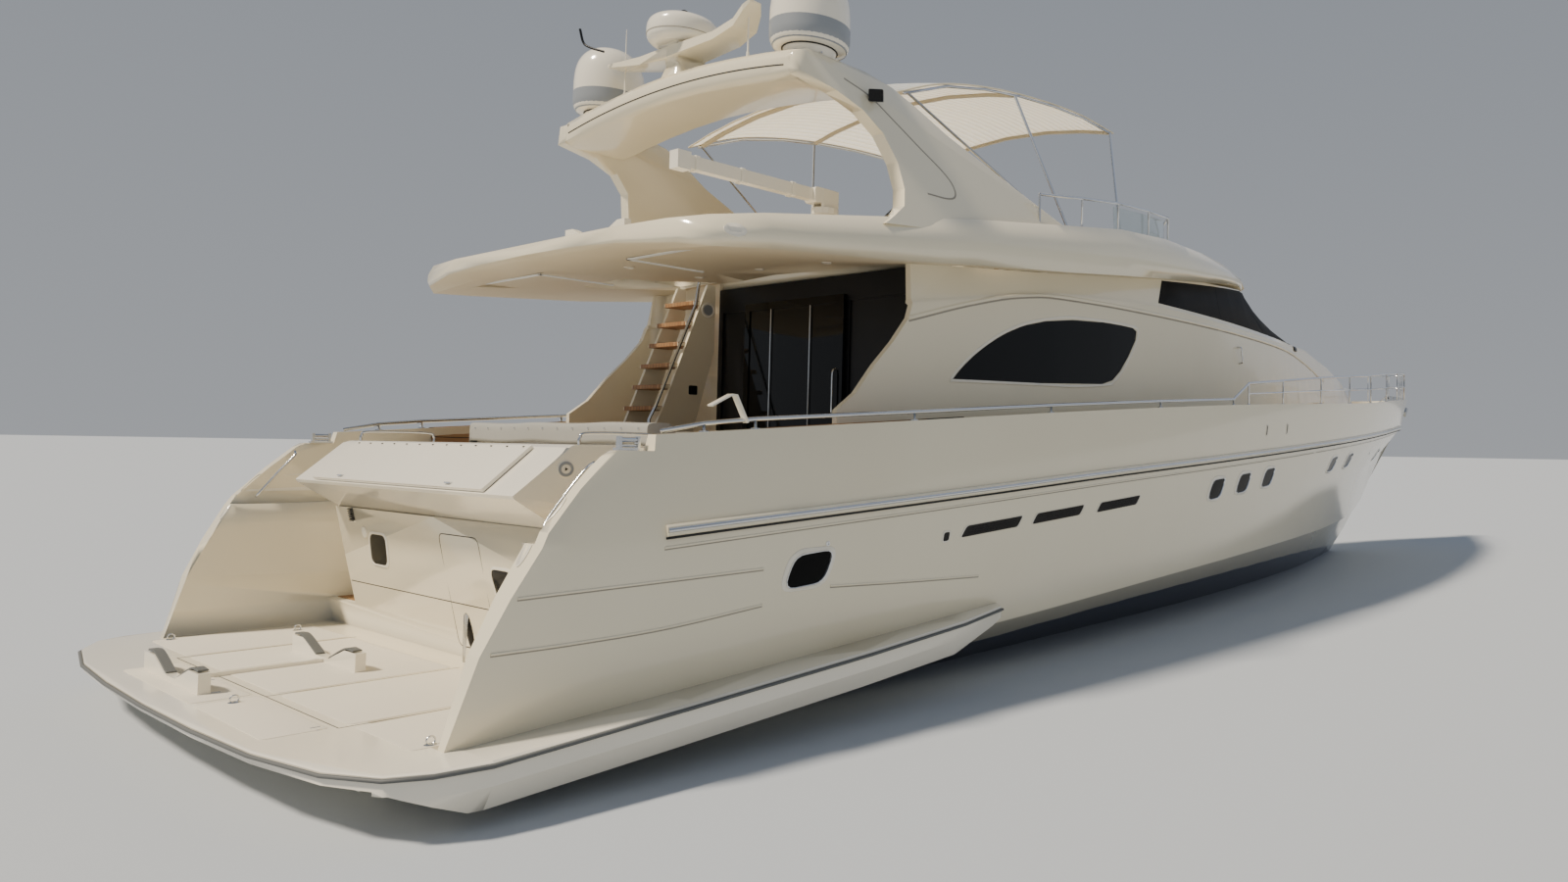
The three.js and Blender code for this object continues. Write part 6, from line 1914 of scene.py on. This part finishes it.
@dataclass
class Studio:
    """Camera at the photograph's viewing angle, pale floor at the waterline and soft light.

    The eye is given in the frame, and each lamp by its name, power, spread in degrees, way and
    colour.
    """

    eye: tuple[float, float, float] = (-14.183, -9.172, 2.171)
    yaw: float = 35.362
    pitch: float = 1.984
    roll: float = 0.933
    focal_px: float = 1051.0
    shift_px: tuple[float, float] = (320.1, -26.8)
    floor_radius: float = 1500.0
    lamps: tuple[tuple, ...] = (("key", 5.1, 7, (0.56, -0.26, -0.79), "#fff1dc"),
                                ("fill", 0.1, 50, (0.25, 0.72, -0.60), "#dfe8fa"),
                                ("bow_fill", 0.2, 60, (-0.8, 0.1, -0.6), "#dfe8ff"))

    def camera(self) -> None:
        """Place the camera; the photograph is a crop, so the view is shifted sideways."""
        yaw, pitch, roll = (math.radians(v) for v in (self.yaw, self.pitch, self.roll))
        ahead = Vector((math.cos(pitch) * math.cos(yaw), math.cos(pitch) * math.sin(yaw),
                        math.sin(pitch)))
        level = Vector((math.sin(yaw), -math.cos(yaw), 0.0))
        top = level.cross(ahead)
        right = level * math.cos(roll) + top * math.sin(roll)
        upward = top * math.cos(roll) - level * math.sin(roll)
        lens = bpy.data.cameras.new("photo_camera")
        lens.sensor_width = SENSOR
        lens.lens = self.focal_px / PHOTO_WIDTH * SENSOR
        lens.shift_x = -self.shift_px[0] / PHOTO_WIDTH
        lens.shift_y = self.shift_px[1] / PHOTO_WIDTH
        lens.clip_end = 5000
        holder = put("photo_camera", lens)
        place = Matrix((right, upward, -ahead)).transposed().to_4x4()
        place.translation = self.eye
        holder.matrix_world = place
        bpy.context.scene.camera = holder

    def lights(self) -> None:
        """A warm key from high on the port quarter, weaker fills from starboard and the bow, and a
        pale sky."""
        for name, power, spread, way, colour in self.lamps:
            lamp = bpy.data.lights.new(name, "SUN")
            lamp.energy = power
            lamp.angle = math.radians(spread)
            lamp.color = linear(colour)[:3]
            put(name, lamp).rotation_euler = Vector(way).to_track_quat("-Z", "Y").to_euler()
        world = bpy.data.worlds.new("studio")
        world.use_nodes = True
        recipe = Recipe(world.node_tree)
        recipe.place = recipe.node("TexCoord").outputs["Generated"]
        ramp = recipe.node("ValToRGB", links={0: recipe.axis(2)})
        for stop, colour in zip(ramp.color_ramp.elements, ("#f1f5fb", "#a9b9cf")):
            stop.color = linear(colour)
        sky = world.node_tree.nodes["Background"]
        world.node_tree.links.new(ramp.outputs[0], sky.inputs[0])
        sky.inputs[1].default_value = 0.42
        bpy.context.scene.world = world

    def floor(self) -> None:
        """A plain matt floor at the waterline."""
        mesh = bpy.data.meshes.new("floor")
        rim = np.insert(circle(self.floor_radius, 96), 2, 0, axis=1)
        mesh.from_pydata(rim.tolist(), [], [list(range(96))])
        paint = bpy.data.materials.new("studio_floor")
        paint.use_nodes = True
        shader = paint.node_tree.nodes["Principled BSDF"]
        shader.inputs["Base Color"].default_value = linear("#b9bfc6")
        shader.inputs["Roughness"].default_value = 0.9
        mesh.materials.append(paint)
        put("floor", mesh)

    def build(self) -> None:
        """Make the camera, the lights and the floor."""
        self.camera()
        self.lights()
        self.floor()


NODE_FINISHES: dict[Finish, tuple[str, ...]] = {
    HULL_PAINT: ("hull",),
    GELCOAT: ("flybridge_moulding", "deckhouse", "radar_arch", "mast_wing", "helm_console",
              "flybridge_stair"),
    WHITE_GELCOAT: ("swim_platform", "tender_cradle", "transom_unit", "locker_lid",
                    "satellite_dome_starboard", "satellite_dome_port", "radome", "crane_column",
                    "crane_slew", "crane_boom", "boat_deck_cradle", "foredeck_hatch"),
    STAINLESS: ("rub_rail", "bulwark_rail", "flybridge_rail", "stair_handrail", "bimini_frame",
                "fairlead_starboard", "fairlead_port", "transom_gate_starboard",
                "transom_gate_port", "windlass", "bow_roller_anchor", "shaft_starboard",
                "shaft_port", "trim_tab_starboard", "trim_tab_port"),
    DARK_GLASS: ("saloon_window_starboard", "saloon_window_port", "windscreen", "saloon_door"),
    ACRYLIC: ("flybridge_windscreen",),
    BLACK_FRAME: ("saloon_end_frame", "helm_wheel"),
    GREY_RUBBER: ("platform_strip",),
    BRONZE: ("propeller_starboard", "propeller_port", "rudder_starboard", "rudder_port"),
    ENGINE_PAINT: ("engine_starboard", "engine_port"),
    TEAK_DECK: ("saloon_sole",),
    TEAK_TABLE: ("cockpit_table", "flybridge_table"),
    CANVAS: ("bimini_canopy", "foredeck_sunpad"),
    SALOON_LEATHER: ("saloon_sofa", "wheelhouse_dash"),
    UPHOLSTERY: ("cockpit_settee", "flybridge_settee", "helm_seats"),
}


# Nodes shown by a smooth copy, with the angle in degrees past which an edge stays sharp.
SMOOTHED: dict[str, float] = {
    "hull": 26, "flybridge_moulding": 30, "deckhouse": 26, "radar_arch": 32, "mast_wing": 32,
    "swim_platform": 26, "transom_unit": 26, "saloon_window_starboard": 26,
    "saloon_window_port": 26, "helm_console": 30, "crane_column": 40, "platform_strip": 40,
    "flybridge_windscreen": 40, "bulwark_rail": 75, "flybridge_rail": 75, "stair_handrail": 75,
    "bimini_frame": 75, "shaft_starboard": 75, "shaft_port": 75, "windlass": 40,
    "propeller_starboard": 50, "propeller_port": 50, "rudder_starboard": 50, "rudder_port": 50}


def smooth_copy(name: str, finish: Finish) -> None:
    """Stand a copy of a node in its place: triangles merged at their corners, so that light runs
    evenly over curved faces and breaks only at real edges. Normals are weighted by face area. The
    roof's faces that look down get its matt lining, whose darker colour is painted shade."""
    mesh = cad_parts[name].data.copy()
    mesh.materials.clear()
    clean(mesh, SMOOTHED[name], turn_out=False)
    facing = np.empty(len(mesh.polygons) * 3)
    mesh.polygons.foreach_get("normal", facing)
    # Faces that look down on the roof take the lining, whose darker colour is painted shade.
    under = (facing[2::3] < -0.8) & (name == "flybridge_moulding")
    mesh.polygons.foreach_set("material_index", under.astype(np.int32))
    made = put(name + "_surface", mesh)
    made.modifiers.new("normals", "WEIGHTED_NORMAL").keep_sharp = True
    finishes = (finish, SOFFIT) if under.any() else (finish,)
    settle(made, finishes, name if name.startswith(("propeller", "rudder")) else BODY, (name,))


def dress_nodes() -> None:
    """Give every CAD node its finish, on the node or on its smooth copy."""
    for finish, names in NODE_FINISHES.items():
        for name in names:
            if name in SMOOTHED:
                smooth_copy(name, finish)
            else:
                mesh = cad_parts[name].data
                mesh.materials.clear()
                mesh.materials.append(finish.material())


def main() -> None:
    """Build the studio and every sub-assembly in order."""
    logging.basicConfig(level=logging.INFO, format="%(message)s")
    Studio().build()
    dress_nodes()
    for assembly in (Topsides, Platform, Transom, Decks, Cockpit, Deckhouse, Flybridge, Bimini,
                     Arch, Crane, Foredeck, Underwater, Saloon):
        LOG.info("building %s", assembly.__name__)
        assembly().build()
    missing = [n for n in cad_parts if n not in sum(NODE_FINISHES.values(), ())]
    LOG.info("nodes with no finish: %s", missing)


if __name__ == "__main__":
    main()
